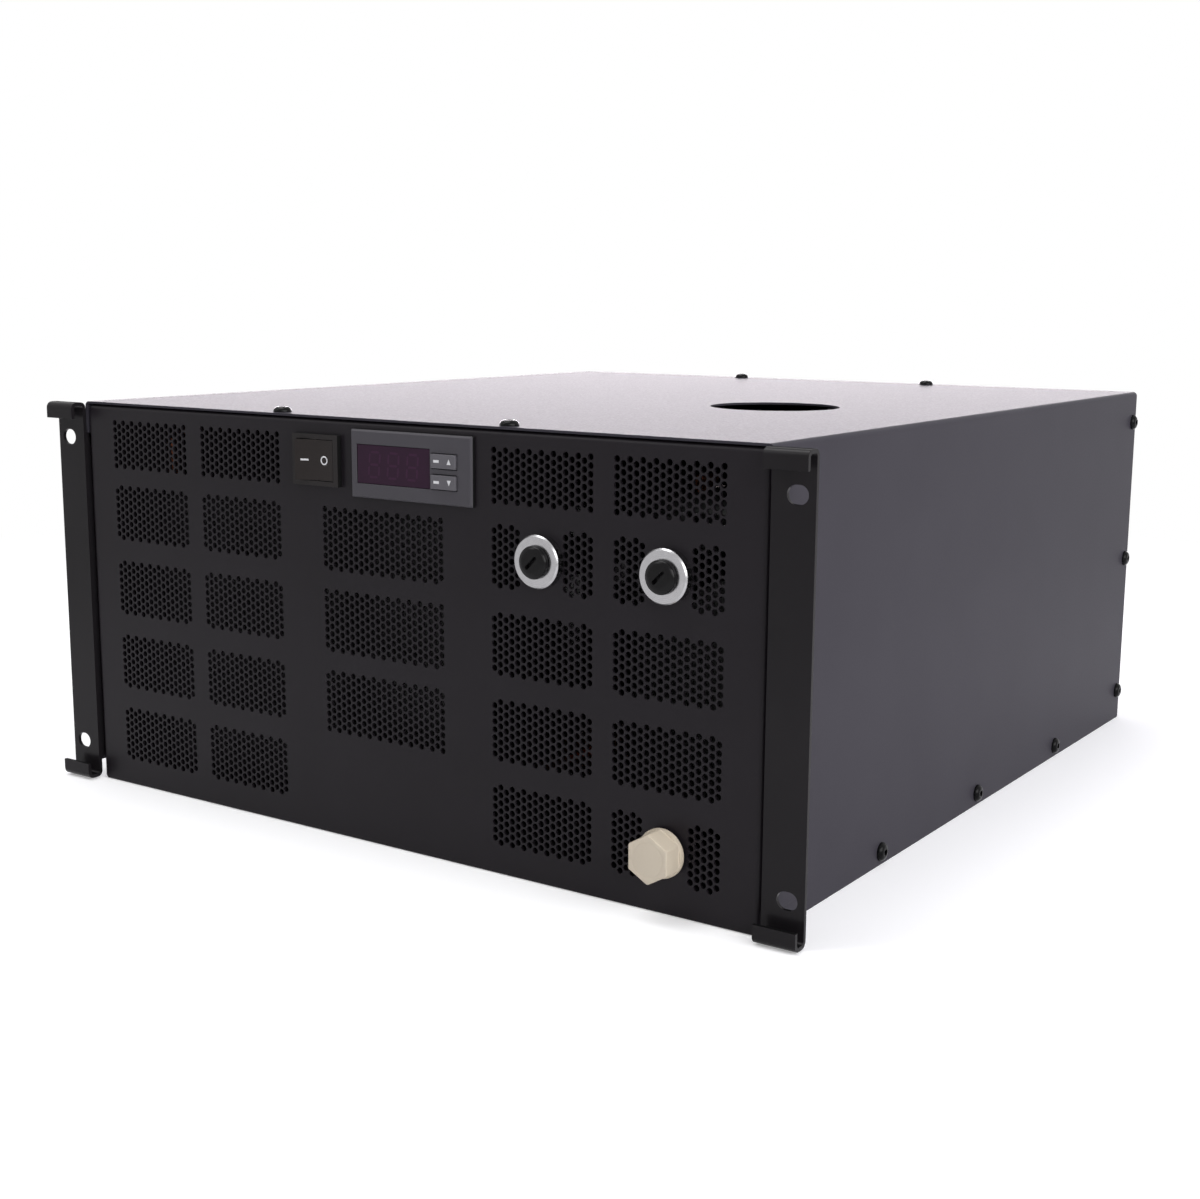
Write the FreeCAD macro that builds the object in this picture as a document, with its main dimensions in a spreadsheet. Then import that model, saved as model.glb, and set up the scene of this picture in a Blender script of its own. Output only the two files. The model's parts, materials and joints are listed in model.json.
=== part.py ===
import FreeCAD, Part
import math
import operator
import os
import Sketcher
from types import SimpleNamespace
from FreeCAD import Placement, Rotation, Vector

# Rack-mount liquid chiller, five units high.
# Origin: middle of the four rack holes, on the back face of the ears.
# X runs to the viewer's right, Y into the rack, Z up. Millimetres and degrees.

DRIVING = {
    # Rack standard
    "rack_width": 482.6,
    "rack_hole_span": 465.1,
    "rack_hole_rise": 177.8,
    "rack_slot_length": 10.3,
    "rack_slot_width": 8.5,
    # Case of bent sheet
    "case_width": 440.0,
    "case_height": 218.8,
    "case_depth": 494.0,
    "cover_sheet": 1.2,
    "panel_sheet": 1.5,
    "tray_sheet": 1.5,
    "bend_radius": 1.5,
    "fit_gap": 0.3,
    "panel_bend": 0.5,
    "return_depth": 14.0,
    "side_return": 34.0,
    "tray_flange": 24.0,
    "access_x": 105.0,
    "access_y": 211.0,
    "access_radius": 36.0,
    # Rack ears with hooked ends
    "ear_sheet": 2.0,
    "ear_height": 217.6,
    "ear_flange": 36.0,
    "ear_flange_inset": 10.0,
    "hook_reach": 10.0,
    "hook_lip": 9.0,
    "hook_bend": 1.5,
    # Button-head screws
    "screw_head_radius": 4.75,
    "screw_head_height": 2.75,
    "screw_shank_radius": 2.5,
    "screw_shank_length": 8.0,
    "screw_hole_gap": 0.2,
    "side_screw_first": 121.0,
    "side_screw_step": 124.5,
    "side_screw_rise": 6.9,
    "rear_screw_inset": 6.0,
    "rear_screw_step": 90.0,
    "top_screw_x": 74.0,
    "top_screw_front": 8.0,
    "ear_screw_inset": 20.0,
    "ear_screw_step": 150.0,
    # Vent fields of the front panel
    "field_width": 60.0,
    "field_inner_x": 98.6,
    "field_outer_x": 168.2,
    "field_height": 30.25,
    "field_row_step": 42.5,
    "field_first_top": 63.75,
    "upper_field_top": 100.0,
    "upper_field_height": 26.75,
    "middle_field_width": 80.5,
    "part_field_width": 17.0,
    "slot_height": 6.5,
    # Rocker switch
    "switch_x": -41.5,
    "control_z": 87.1,
    "switch_width": 31.0,
    "switch_height": 26.0,
    "switch_proud": 2.9,
    "switch_body_width": 27.0,
    "switch_body_height": 23.5,
    "switch_depth": 24.0,
    "switch_cavity": 10.0,
    "rocker_front_half": 11.6,
    "rocker_back_half": 10.3,
    "rocker_length": 20.6,
    "rocker_middle": 1.0,
    "rocker_thickness": 7.0,
    "rocker_swing": 16.0,
    "rocker_gap": 0.4,
    "pivot_radius": 1.0,
    "pivot_length": 1.2,
    "running_gap": 0.05,
    "cut_out_gap": 0.2,
    # Temperature controller
    "controller_x": 21.0,
    "controller_width": 77.0,
    "controller_height": 34.0,
    "controller_proud": 2.6,
    "controller_chamfer": 1.0,
    "controller_body_width": 70.5,
    "controller_body_height": 28.5,
    "controller_depth": 60.0,
    "controller_wall": 1.5,
    "window_x": 10.2,
    "window_width": 46.8,
    "window_height": 19.3,
    "window_sheet": 1.4,
    "window_inset": 0.4,
    "window_gap": 0.15,
    "key_x": 42.6,
    "key_width": 15.4,
    "key_height": 6.9,
    "key_up_z": 91.3,
    "key_down_z": 81.2,
    "key_proud": 1.0,
    "key_thickness": 3.0,
    "key_travel": 0.8,
    "key_stem": 3.0,
    "key_stop_gap": 0.1,
    "board_front": 8.0,
    "board_sheet": 1.6,
    "board_margin": 0.75,
    "push_switch_size": 6.0,
    "push_switch_height": 3.5,
    "display_height": 7.0,
    "display_width": 42.0,
    "clip_width": 12.0,
    "clip_thickness": 5.0,
    "clip_length": 14.0,
    # Fill and balance ports
    "port_z": 48.2,
    "collar_wall": 4.85,
    "collar_proud": 5.0,
    "collar_chamfer": 0.8,
    "barrel_wall": 4.5,
    "barrel_end": 22.0,
    "nut_wall": 2.5,
    "nut_height": 6.5,
    "plug_head_radius": 7.9,
    "plug_head_height": 3.2,
    "plug_dome": 1.7,
    "plug_dome_width": 3.5,
    "plug_shank_radius": 6.5,
    "plug_shank_end": 16.0,
    "plug_slot_width": 1.7,
    "plug_slot_depth": 1.4,
    "plug_slot_turn": 45.0,
    "seal_thickness": 1.5,
    "seal_gap": 0.4,
    # Service outlet
    "service_z": -79.5,
    "service_flats": 20.6,
    "service_proud": 14.7,
    "service_flange_radius": 11.7,
    "service_flange_back": 1.8,
    "service_flange_front": 4.3,
    "service_barrel_radius": 9.0,
    "service_flange_thickness": 3.0,
    "service_back_radius": 14.0,
    "service_seal_thickness": 1.2,
    # Hoses and hose tails
    "tail_radius": 6.5,
    "tail_bore": 4.5,
    "tail_length": 18.0,
    "hose_wall": 2.3,
    "hose_gap": 0.2,
    "hose_end_gap": 2.0,
    # Reservoir and its cap
    "tank_left": 56.0,
    "tank_right": 205.0,
    "tank_front": 130.0,
    "tank_back": 290.0,
    "tank_top": 58.0,
    "tank_wall": 3.0,
    "tank_corner": 12.0,
    "neck_radius": 25.0,
    "neck_bore": 21.0,
    "neck_height": 24.0,
    "cap_radius": 31.0,
    "cap_top": 4.0,
    "cap_skirt": 18.0,
    # Pump
    "pump_x": 72.0,
    "pump_z": -70.0,
    "pump_front": 310.0,
    "pump_tail": 14.0,
    "volute_radius": 35.0,
    "volute_length": 26.0,
    "motor_radius": 28.0,
    "motor_length": 42.0,
    "saddle_width": 40.0,
    "saddle_length": 30.0,
    "saddle_top": -80.0,
    "seat_gap": 0.3,
    # Plate heat exchanger
    "exchanger_x": 52.0,
    "exchanger_width": 75.0,
    "exchanger_front": 400.0,
    "exchanger_back": 440.0,
    "exchanger_top": 82.0,
    "exchanger_inset": 2.0,
    "plate_thickness": 2.6,
    "exchanger_port_x": 20.0,
    "exchanger_low_port": -84.0,
    "exchanger_high_port": 58.0,
    "stub_length": 15.0,
    # Coolant fittings in the rear panel
    "outlet_z": -84.0,
    "inlet_x": 160.0,
    "inlet_z": 20.0,
    "fitting_radius": 10.5,
    "fitting_inside": 16.0,
    "fitting_flange_radius": 14.0,
    "fitting_flange": 6.0,
    "fitting_nose_radius": 12.0,
    "fitting_proud": 10.0,
    "fitting_thread_radius": 8.6,
    "fitting_thread_length": 16.0,
    # Compressor and suction accumulator
    "compressor_x": -125.0,
    "compressor_y": 255.0,
    "compressor_radius": 55.0,
    "compressor_height": 146.0,
    "compressor_dome": 20.0,
    "compressor_heel": 14.0,
    "foot_circle": 72.0,
    "foot_width": 26.0,
    "foot_reach": 86.0,
    "foot_sheet": 3.5,
    "foot_hole_radius": 3.6,
    "grommet_radius": 11.0,
    "grommet_bore": 3.4,
    "grommet_height": 12.0,
    "bolt_radius": 3.0,
    "bolt_flats": 10.0,
    "bolt_head": 4.0,
    "terminal_width": 36.0,
    "terminal_depth": 14.0,
    "terminal_low": 0.0,
    "terminal_high": 34.0,
    "line_x": 32.0,
    "accumulator_radius": 20.0,
    "accumulator_low": -60.0,
    "accumulator_high": 30.0,
    # Copper lines
    "discharge_radius": 4.0,
    "discharge_height": 90.0,
    "suction_radius": 4.5,
    "elbow_height": -72.0,
    "liquid_radius": 4.0,
    "drier_radius": 12.0,
    "drier_gap": 4.0,
    "drier_length": 100.0,
    "valve_start": 280.0,
    "valve_length": 28.0,
    "valve_size": 22.0,
    "valve_dome_radius": 10.0,
    "valve_dome_height": 12.0,
    # Condenser and fan
    "core_left": -190.0,
    "core_right": 24.0,
    "core_lift": 3.9,
    "core_height": 168.0,
    "core_front": 28.0,
    "core_depth": 32.0,
    "tube_depth": 28.0,
    "tube_thickness": 2.5,
    "header_width": 16.0,
    "header_front": 24.0,
    "header_depth": 40.0,
    "header_chamfer": 5.0,
    "shroud_depth": 22.0,
    "shroud_sheet": 1.2,
    "fan_x": -80.0,
    "fan_lift": 1.9,
    "fan_size": 172.0,
    "fan_depth": 38.0,
    "fan_rim": 4.0,
    "strut_width": 8.0,
    "strut_depth": 8.0,
    "motor_plate_radius": 30.0,
    "spindle_radius": 4.0,
    "spindle_length": 20.0,
    "rotor_gap": 2.0,
    "rotor_hub": 34.0,
    "rotor_length": 22.0,
    "tip_gap": 3.0,
    "rotor_root": 32.0,
    "blade_thickness": 2.2,
    "blade_camber": 2.5,
    "blade_chord": 32.0,
    "blade_pitch": 34.0,
    # Control box, mains inlet and rear vents
    "box_left": -205.0,
    "box_right": -85.0,
    "box_front": 395.0,
    "box_back": 476.0,
    "box_top": -40.0,
    "box_sheet": 1.2,
    "box_margin": 8.0,
    "standoff_height": 6.0,
    "standoff_radius": 3.0,
    "relay_width": 45.0,
    "relay_height": 32.0,
    "mains_x": -150.0,
    "mains_z": 45.0,
    "mains_flange_width": 50.0,
    "mains_flange_height": 24.0,
    "mains_flange": 3.0,
    "mains_body_width": 27.6,
    "mains_body_height": 20.0,
    "mains_depth": 20.0,
    "mains_wall": 1.8,
    "pin_width": 2.0,
    "pin_height": 4.0,
    "pin_step": 7.0,
    "pin_recess": 5.0,
    "pin_earth_rise": 2.0,
    "rear_vent_width": 76.0,
    "rear_vent_gap": 10.0,
    "rear_vent_left": -190.0,
    "rear_vent_bottom": -85.0,
    "rear_vent_height": 4.0,
    "rear_vent_span": 72.0,
}

SLOTS_PER_FIELD = 3
TUBES = 12
BLADES = 7
PLATES = 7
REAR_VENT_ROWS = 7
HEX = 6

# Plugs, screws and round pieces that the case hides have flat sides, which keeps the facets few.
SCREW_HEAD_SIDES = 8
SCREW_SHANK_SIDES = 6
HIDDEN_SIDES = 8
CAP_SIDES = 18
ROUND_SIDES = 36

FOOT_ANGLES = (90.0, 210.0, 330.0)
POINT_UP = 30.0
OVERCUT = 1.0
TOUCH = 0.01

doc = FreeCAD.newDocument("rack_chiller")
book = doc.addObject("Spreadsheet::Sheet", "Sizes")
nodes = []

ARITHMETIC = {"+": operator.add, "-": operator.sub, "*": operator.mul, "/": operator.truediv}


class Size:
    """A length that carries its sheet formula and its present value."""

    def __init__(self, formula, value):
        self.formula = formula
        self.value = value

    def __add__(self, other):
        return joined(self, "+", other)

    def __radd__(self, other):
        return joined(other, "+", self)

    def __sub__(self, other):
        return joined(self, "-", other)

    def __rsub__(self, other):
        return joined(other, "-", self)

    def __mul__(self, other):
        return joined(self, "*", other)

    def __rmul__(self, other):
        return joined(other, "*", self)

    def __truediv__(self, other):
        return joined(self, "/", other)

    def __neg__(self):
        return joined(0, "-", self)


def as_size(amount):
    if isinstance(amount, Size):
        return amount
    return Size(repr(float(amount)), float(amount))


def joined(left, sign, right):
    first = as_size(left)
    second = as_size(right)
    formula = "(" + first.formula + " " + sign + " " + second.formula + ")"
    return Size(formula, ARITHMETIC[sign](first.value, second.value))


def cosine(angle):
    return Size("cos(" + angle.formula + " * 1 deg)", math.cos(math.radians(angle.value)))


def sine(angle):
    return Size("sin(" + angle.formula + " * 1 deg)", math.sin(math.radians(angle.value)))


def fill_sheet():
    found = {}
    for row, (alias, amount) in enumerate(DRIVING.items(), start=1):
        cell = "A%d" % row
        book.set(cell, str(amount))
        book.setAlias(cell, alias)
        found[alias] = Size("Sizes." + alias, amount)
    doc.recompute()
    return SimpleNamespace(**found)


dim = fill_sheet()

# Planes and faces that several pieces share
HALF_CASE = dim.case_width / 2
INNER_HALF = HALF_CASE - dim.cover_sheet
PANEL_HALF = INNER_HALF - dim.fit_gap
CASE_TOP = dim.case_height / 2
CASE_BOTTOM = -CASE_TOP
PANEL_TOP = CASE_TOP - dim.cover_sheet - dim.fit_gap
PANEL_BOTTOM = CASE_BOTTOM + dim.fit_gap
FLOOR = CASE_BOTTOM + dim.tray_sheet
REAR_INNER = dim.case_depth - dim.panel_sheet
PANEL_FOLD = dim.panel_sheet + dim.panel_bend
FOLD_HALF = PANEL_HALF - PANEL_FOLD
FOLD_TOP = PANEL_TOP - PANEL_FOLD
PORTS_X = {"fill": dim.field_inner_x, "balance": dim.field_outer_x}
PIVOT_Y = -(dim.switch_proud / 2)
HEAD_BACK = -(dim.collar_proud + dim.fit_gap)
PLUG_FRONT = HEAD_BACK - dim.plug_head_height
SEAL_RADIUS = dim.plug_head_radius - dim.seal_gap
SEAL_FRONT = HEAD_BACK + dim.fit_gap
SHOULDER = SEAL_FRONT + dim.seal_thickness + dim.fit_gap
RECESS = SEAL_RADIUS + dim.fit_gap
COLLAR_RADIUS = dim.plug_head_radius + dim.collar_wall
BARREL_RADIUS = dim.plug_shank_radius + dim.barrel_wall
DOME_RADIUS = dim.plug_head_radius - dim.plug_dome_width
HOSE_BORE = dim.tail_radius + dim.hose_gap
HOSE_RADIUS = HOSE_BORE + dim.hose_wall
VOLUTE_FRONT = dim.pump_front + dim.pump_tail
VOLUTE_BACK = VOLUTE_FRONT + dim.volute_length
OUTLET_Y = VOLUTE_FRONT + dim.volute_length / 2
WATER_X = dim.exchanger_x + dim.exchanger_port_x
EXCHANGER_STUB = dim.exchanger_front - dim.stub_length
FOOT_BOTTOM = FLOOR + dim.grommet_height
FOOT_TOP = FOOT_BOTTOM + dim.foot_sheet
COMPRESSOR_TOP = FOOT_TOP + dim.compressor_height
CORE_BOTTOM = FLOOR + dim.core_lift
CORE_TOP = CORE_BOTTOM + dim.core_height
CORE_BACK = dim.core_front + dim.core_depth
SHROUD_BACK = CORE_BACK + dim.shroud_depth
FAN_BACK = SHROUD_BACK + dim.fan_depth
DRIER_START = FAN_BACK + dim.drier_gap
STRUT_FRONT = FAN_BACK - dim.strut_depth
ROTOR_BACK = STRUT_FRONT - dim.rotor_gap
ROTOR_MIDDLE = ROTOR_BACK - dim.rotor_length / 2
FAN_Z = FLOOR + dim.fan_lift + dim.fan_size / 2
FAN_BORE = dim.fan_size / 2 - dim.fan_rim
ROTOR_TIP = FAN_BORE - dim.tip_gap

AXIS_TURN = {
    "X": Rotation(Vector(0, 1, 0), 90),
    "Y": Rotation(Vector(1, 0, 0), -90),
    "Z": Rotation(),
}


def bind(thing, field, amount):
    thing.setExpression(field, as_size(amount).formula)


def place(thing, x, y, z):
    bind(thing, "Placement.Base.x", x)
    bind(thing, "Placement.Base.y", y)
    bind(thing, "Placement.Base.z", z)


def place_on_axis(thing, axis, start, u, v, turn=0):
    """Puts a shape drawn along Z on the given axis; u and v are its other two coordinates."""
    thing.Placement = Placement(Vector(), AXIS_TURN[axis] * Rotation(Vector(0, 0, 1), turn))
    spot = {"X": (start, u, v), "Y": (u, start, v), "Z": (u, v, start)}[axis]
    place(thing, *spot)


def keep(thing, label):
    thing.Label = label
    nodes.append(thing)
    return thing


def box(name, x, y, z):
    solid = doc.addObject("Part::Box", name)
    bind(solid, "Length", x[1] - x[0])
    bind(solid, "Width", y[1] - y[0])
    bind(solid, "Height", z[1] - z[0])
    place(solid, x[0], y[0], z[0])
    return solid


def about(middle, whole):
    """Low and high ends of a length centred on middle."""
    return (middle - whole / 2, middle + whole / 2)


def rod(name, axis, radius, span, u, v):
    solid = doc.addObject("Part::Cylinder", name)
    bind(solid, "Radius", radius)
    bind(solid, "Height", span[1] - span[0])
    place_on_axis(solid, axis, span[0], u, v)
    return solid


def prism(name, axis, sides, radius, span, u, v, turn=0):
    solid = doc.addObject("Part::Prism", name)
    solid.Polygon = sides
    bind(solid, "Circumradius", radius)
    bind(solid, "Height", span[1] - span[0])
    place_on_axis(solid, axis, span[0], u, v, turn)
    return solid


def around(radius, sides):
    """Corner radius of a prism whose flats lie on the given radius."""
    return radius / math.cos(math.pi / sides)


def post(name, axis, radius, span, u, v, sides=HIDDEN_SIDES):
    """A flat-sided round piece with its corners on the radius."""
    return prism(name, axis, sides, radius, span, u, v)


def socket(name, axis, radius, span, u, v, sides=HIDDEN_SIDES):
    """A flat-sided round hole with its flats on the radius."""
    return prism(name, axis, sides, around(radius, sides), span, u, v)


def fuse(name, parts):
    whole = doc.addObject("Part::MultiFuse", name)
    whole.Shapes = parts
    whole.Refine = True
    return whole


def cut(name, base, tools):
    result = doc.addObject("Part::Cut", name)
    result.Base = base
    result.Tool = tools[0] if len(tools) == 1 else fuse(name + "_tools", tools)
    return result


def group(name, parts):
    together = doc.addObject("Part::Compound", name)
    together.Links = parts
    return together


def ring(name, axis, outer, inner, span, u, v, sides=HIDDEN_SIDES):
    longer = (span[0] - OVERCUT, span[1] + OVERCUT)
    return cut(name, post(name + "_outer", axis, outer, span, u, v, sides),
               [socket(name + "_inner", axis, inner, longer, u, v, sides)])


def origin_part(body, role):
    return [part for part in body.Origin.OriginFeatures if part.Role == role][0]


def new_body(name):
    return doc.addObject("PartDesign::Body", name)


def sketch_on(body, role, name, offset=0):
    sketch = body.newObject("Sketcher::SketchObject", name)
    sketch.AttachmentSupport = (origin_part(body, role), [""])
    sketch.MapMode = "FlatFace"
    bind(sketch, "AttachmentOffset.Base.z", offset)
    return sketch


def pin_point(sketch, line, end, x, y):
    """Ties one end of a sketch line, or a circle's centre, to the sketch's origin."""
    for kind, amount in (("DistanceX", as_size(x)), ("DistanceY", as_size(y))):
        index = sketch.addConstraint(Sketcher.Constraint(kind, -1, 1, line, end, amount.value))
        sketch.setExpression("Constraints[%d]" % index, amount.formula)


def polygon(sketch, points):
    first = sketch.GeometryCount
    count = len(points)
    spots = [Vector(as_size(x).value, as_size(y).value, 0) for x, y in points]
    for i in range(count):
        sketch.addGeometry(Part.LineSegment(spots[i], spots[(i + 1) % count]))
    for i in range(count):
        following = first + (i + 1) % count
        sketch.addConstraint(Sketcher.Constraint("Coincident", first + i, 2, following, 1))
    for i, (x, y) in enumerate(points):
        pin_point(sketch, first + i, 1, x, y)


def rectangle(sketch, across, up):
    polygon(sketch, [(across[0], up[0]), (across[1], up[0]), (across[1], up[1]), (across[0], up[1])])


def circle(sketch, x, y, radius):
    index = sketch.GeometryCount
    middle = Vector(as_size(x).value, as_size(y).value, 0)
    sketch.addGeometry(Part.Circle(middle, Vector(0, 0, 1), as_size(radius).value))
    pin_point(sketch, index, 3, x, y)
    size = sketch.addConstraint(Sketcher.Constraint("Radius", index, as_size(radius).value))
    sketch.setExpression("Constraints[%d]" % size, as_size(radius).formula)


def facet_circle(sketch, x, y, radius, sides=HIDDEN_SIDES):
    """A flat-sided circle with its flats on the radius."""
    corner = around(radius, sides)
    turns = [2 * math.pi * i / sides for i in range(sides)]
    polygon(sketch, [(x + corner * math.cos(turn), y + corner * math.sin(turn)) for turn in turns])


def pad(body, sketch, length, backwards=False, both_ways=False):
    feature = body.newObject("PartDesign::Pad", sketch.Name + "_pad")
    feature.Profile = sketch
    bind(feature, "Length", length)
    feature.Reversed = backwards
    feature.Midplane = both_ways
    return feature


def pocket_through(body, sketch):
    feature = body.newObject("PartDesign::Pocket", sketch.Name + "_pocket")
    feature.Profile = sketch
    feature.Type = "ThroughAll"
    return feature


def repeat_along(body, feature, sketch, axis, length, count, backwards=False):
    pattern = body.newObject("PartDesign::LinearPattern", feature.Name + "_rows")
    pattern.Originals = [feature]
    pattern.Direction = (sketch, [axis])
    pattern.Reversed = backwards
    pattern.Occurrences = count
    bind(pattern, "Length", length)
    body.Tip = pattern
    return pattern


def repeat_round(body, feature, role, count):
    pattern = body.newObject("PartDesign::PolarPattern", feature.Name + "_round")
    pattern.Originals = [feature]
    pattern.Axis = (origin_part(body, role), [""])
    pattern.Angle = 360
    pattern.Occurrences = count
    body.Tip = pattern
    return pattern


def edges_at(feature, **level):
    """Names of the edges that lie wholly at the given X, Y or Z levels."""
    doc.recompute()
    names = []
    for number, edge in enumerate(feature.Shape.Edges, start=1):
        bounds = edge.BoundBox
        ends = {"x": (bounds.XMin, bounds.XMax), "y": (bounds.YMin, bounds.YMax),
                "z": (bounds.ZMin, bounds.ZMax)}
        if all(abs(end - as_size(level[axis]).value) < TOUCH for axis in level for end in ends[axis]):
            names.append("Edge%d" % number)
    return names


def soften(body, kind, field, feature, amount, edges):
    rounded = body.newObject("PartDesign::" + kind, feature.Name + "_" + kind)
    rounded.Base = (feature, edges)
    bind(rounded, field, amount)
    return rounded


def turned(name, axis, profile, start, u, v):
    """A turned piece: profile holds (radius, distance from start) along the axis."""
    body = new_body(name)
    sketch = sketch_on(body, "XZ_Plane", name + "_profile")
    polygon(sketch, profile)
    spin = body.newObject("PartDesign::Revolution", name + "_turn")
    spin.Profile = sketch
    spin.ReferenceAxis = (sketch, ["V_Axis"])
    spin.Angle = 360
    place_on_axis(body, axis, start, u, v)
    return body


def step_along(point, direction, distance):
    """The point moved by a distance along a row axis, given as a unit vector."""
    return tuple(point[i] + distance * direction[i] if direction[i] else point[i] for i in range(3))


def heading(start, end):
    gaps = [as_size(end[i]).value - as_size(start[i]).value for i in range(3)]
    return tuple((gap > TOUCH) - (gap < -TOUCH) for gap in gaps)


def straight(name, radius, start, end, sides):
    direction = heading(start, end)
    index = [i for i in range(3) if direction[i]][0]
    span = (start[index], end[index]) if direction[index] > 0 else (end[index], start[index])
    others = [start[i] for i in range(3) if i != index]
    return prism(name, "XYZ"[index], sides, radius, span, *others)


def pipe(name, radius, route, sides=HIDDEN_SIDES):
    """A pipe along straight runs that meet in square mitred corners."""
    last = len(route) - 2
    runs = []
    for i in range(len(route) - 1):
        direction = heading(route[i], route[i + 1])
        start = route[i] if i == 0 else step_along(route[i], direction, -radius)
        end = route[i + 1] if i == last else step_along(route[i + 1], direction, radius)
        runs.append(straight("%s_run%d" % (name, i), radius, start, end, sides))
    return fuse(name, runs)


def button_screw(name, axis, face, outward, u, v):
    """A screw whose head stands on a face; outward is the side that the head is on."""
    head_end = face + outward * dim.screw_head_height
    shank_end = face - outward * dim.screw_shank_length
    head_span = (face, head_end) if outward > 0 else (head_end, face)
    shank_span = (shank_end, face) if outward > 0 else (face, shank_end)
    return fuse(name, [
        prism(name + "_head", axis, SCREW_HEAD_SIDES, dim.screw_head_radius, head_span, u, v),
        prism(name + "_shank", axis, SCREW_SHANK_SIDES, dim.screw_shank_radius, shank_span, u, v),
    ])


def screw_hole(name, axis, middle, u, v):
    """A clearance hole for a screw, long enough for the sheets that lie together there."""
    radius = dim.screw_shank_radius + dim.screw_hole_gap
    span = about(middle, 2 * dim.screw_shank_length)
    return prism(name, axis, SCREW_SHANK_SIDES, radius, span, u, v)


def side_screw_spots():
    low = CASE_BOTTOM + dim.side_screw_rise
    row = [(dim.side_screw_first + i * dim.side_screw_step, low) for i in range(3)]
    column = [(dim.case_depth - dim.rear_screw_inset, i * dim.rear_screw_step) for i in (-1, 0, 1)]
    return row, column


def top_screw_spots():
    rows = (dim.top_screw_front, dim.case_depth - dim.rear_screw_inset)
    return [(x, y) for x in (-dim.top_screw_x, dim.top_screw_x) for y in rows]


def ear_screw_spots():
    return [(dim.ear_screw_inset, i * dim.ear_screw_step / 2) for i in (-1, 1)]


def side_holes(name, spots):
    holes = []
    for side in (-1, 1):
        for i, (y, z) in enumerate(spots):
            holes.append(screw_hole("%s_%s%d" % (name, "lr"[side > 0], i), "X", side * HALF_CASE, y, z))
    return holes


def top_holes(name, spots):
    return [screw_hole("%s_t%d" % (name, i), "Z", CASE_TOP, x, y) for i, (x, y) in enumerate(spots)]


def make_cover():
    body = new_body("cover_shell")
    section = sketch_on(body, "XZ_Plane", "cover_section")
    under = CASE_TOP - dim.cover_sheet
    polygon(section, [(-HALF_CASE, CASE_BOTTOM), (-HALF_CASE, CASE_TOP), (HALF_CASE, CASE_TOP),
                      (HALF_CASE, CASE_BOTTOM), (INNER_HALF, CASE_BOTTOM), (INNER_HALF, under),
                      (-INNER_HALF, under), (-INNER_HALF, CASE_BOTTOM)])
    shell = pad(body, section, dim.case_depth, backwards=True)
    outer = edges_at(shell, x=HALF_CASE, z=CASE_TOP) + edges_at(shell, x=-HALF_CASE, z=CASE_TOP)
    shell = soften(body, "Fillet", "Radius", shell, dim.bend_radius + dim.cover_sheet, outer)
    inner = edges_at(shell, x=INNER_HALF, z=under) + edges_at(shell, x=-INNER_HALF, z=under)
    soften(body, "Fillet", "Radius", shell, dim.bend_radius, inner)
    row, column = side_screw_spots()
    access = rod("access_hole", "Z", dim.access_radius, (under - OVERCUT, CASE_TOP + OVERCUT),
                 dim.access_x, dim.access_y)
    holes = side_holes("cover_hole", row + column + ear_screw_spots())
    holes += top_holes("cover_hole", top_screw_spots())
    keep(cut("cover", body, [access] + holes), "top_cover")


def make_tray():
    inside = PANEL_HALF - dim.tray_sheet
    run = (dim.side_return + dim.fit_gap, REAR_INNER - dim.return_depth - dim.fit_gap)
    wall = (FLOOR - dim.tray_sheet, FLOOR + dim.tray_flange)
    floor = box("tray_floor", (-PANEL_HALF, PANEL_HALF),
                (dim.panel_sheet + dim.fit_gap, REAR_INNER - dim.fit_gap), (CASE_BOTTOM, FLOOR))
    left = box("tray_left", (-PANEL_HALF, -inside), run, wall)
    right = box("tray_right", (inside, PANEL_HALF), run, wall)
    row, column = side_screw_spots()
    sheet_metal = fuse("tray_sheet_metal", [floor, left, right])
    keep(cut("tray", sheet_metal, side_holes("tray_hole", row)), "bottom_tray")


def panel_outline(sketch):
    """The flat of the front or the rear panel, as far as its folds."""
    rectangle(sketch, (-FOLD_HALF, FOLD_HALF), (PANEL_BOTTOM, FOLD_TOP))


def fold(name, role, corner, legs, depth, length, offset=0, both_ways=False):
    """A strip bent square; corner is its outside corner, and legs point along the panel and inwards."""
    body = new_body(name)
    section = sketch_on(body, role, name + "_section", offset)
    lap = PANEL_FOLD + dim.panel_sheet
    t = dim.panel_sheet

    def spot(along, inward):
        return [at + along * legs[0][i] + inward * legs[1][i] for i, at in enumerate(corner)]

    polygon(section, [spot(lap, 0), spot(0, 0), spot(0, depth), spot(t, depth), spot(t, t), spot(lap, t)])
    strip = pad(body, section, length, both_ways=both_ways)
    axes = role[:2].lower()
    outside = edges_at(strip, **dict(zip(axes, spot(0, 0))))
    strip = soften(body, "Fillet", "Radius", strip, PANEL_FOLD, outside)
    inside = edges_at(strip, **dict(zip(axes, spot(t, t))))
    soften(body, "Fillet", "Radius", strip, dim.panel_bend, inside)
    return body


def panel_folds(name, face, inward, top_depth, side_depth):
    """The bent edges of a panel, along its top and down its sides, with a notch at each upper corner."""
    folds = [fold(name + "_top", "YZ_Plane", (face, PANEL_TOP), ((0, -1), (inward, 0)), top_depth,
                  2 * FOLD_HALF, both_ways=True)]
    for side in (-1, 1):
        folds.append(fold("%s_%s" % (name, "lr"[side > 0]), "XY_Plane", (side * PANEL_HALF, face),
                          ((-side, 0), (0, inward)), side_depth, FOLD_TOP - FLOOR, offset=FLOOR))
    return folds


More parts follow.
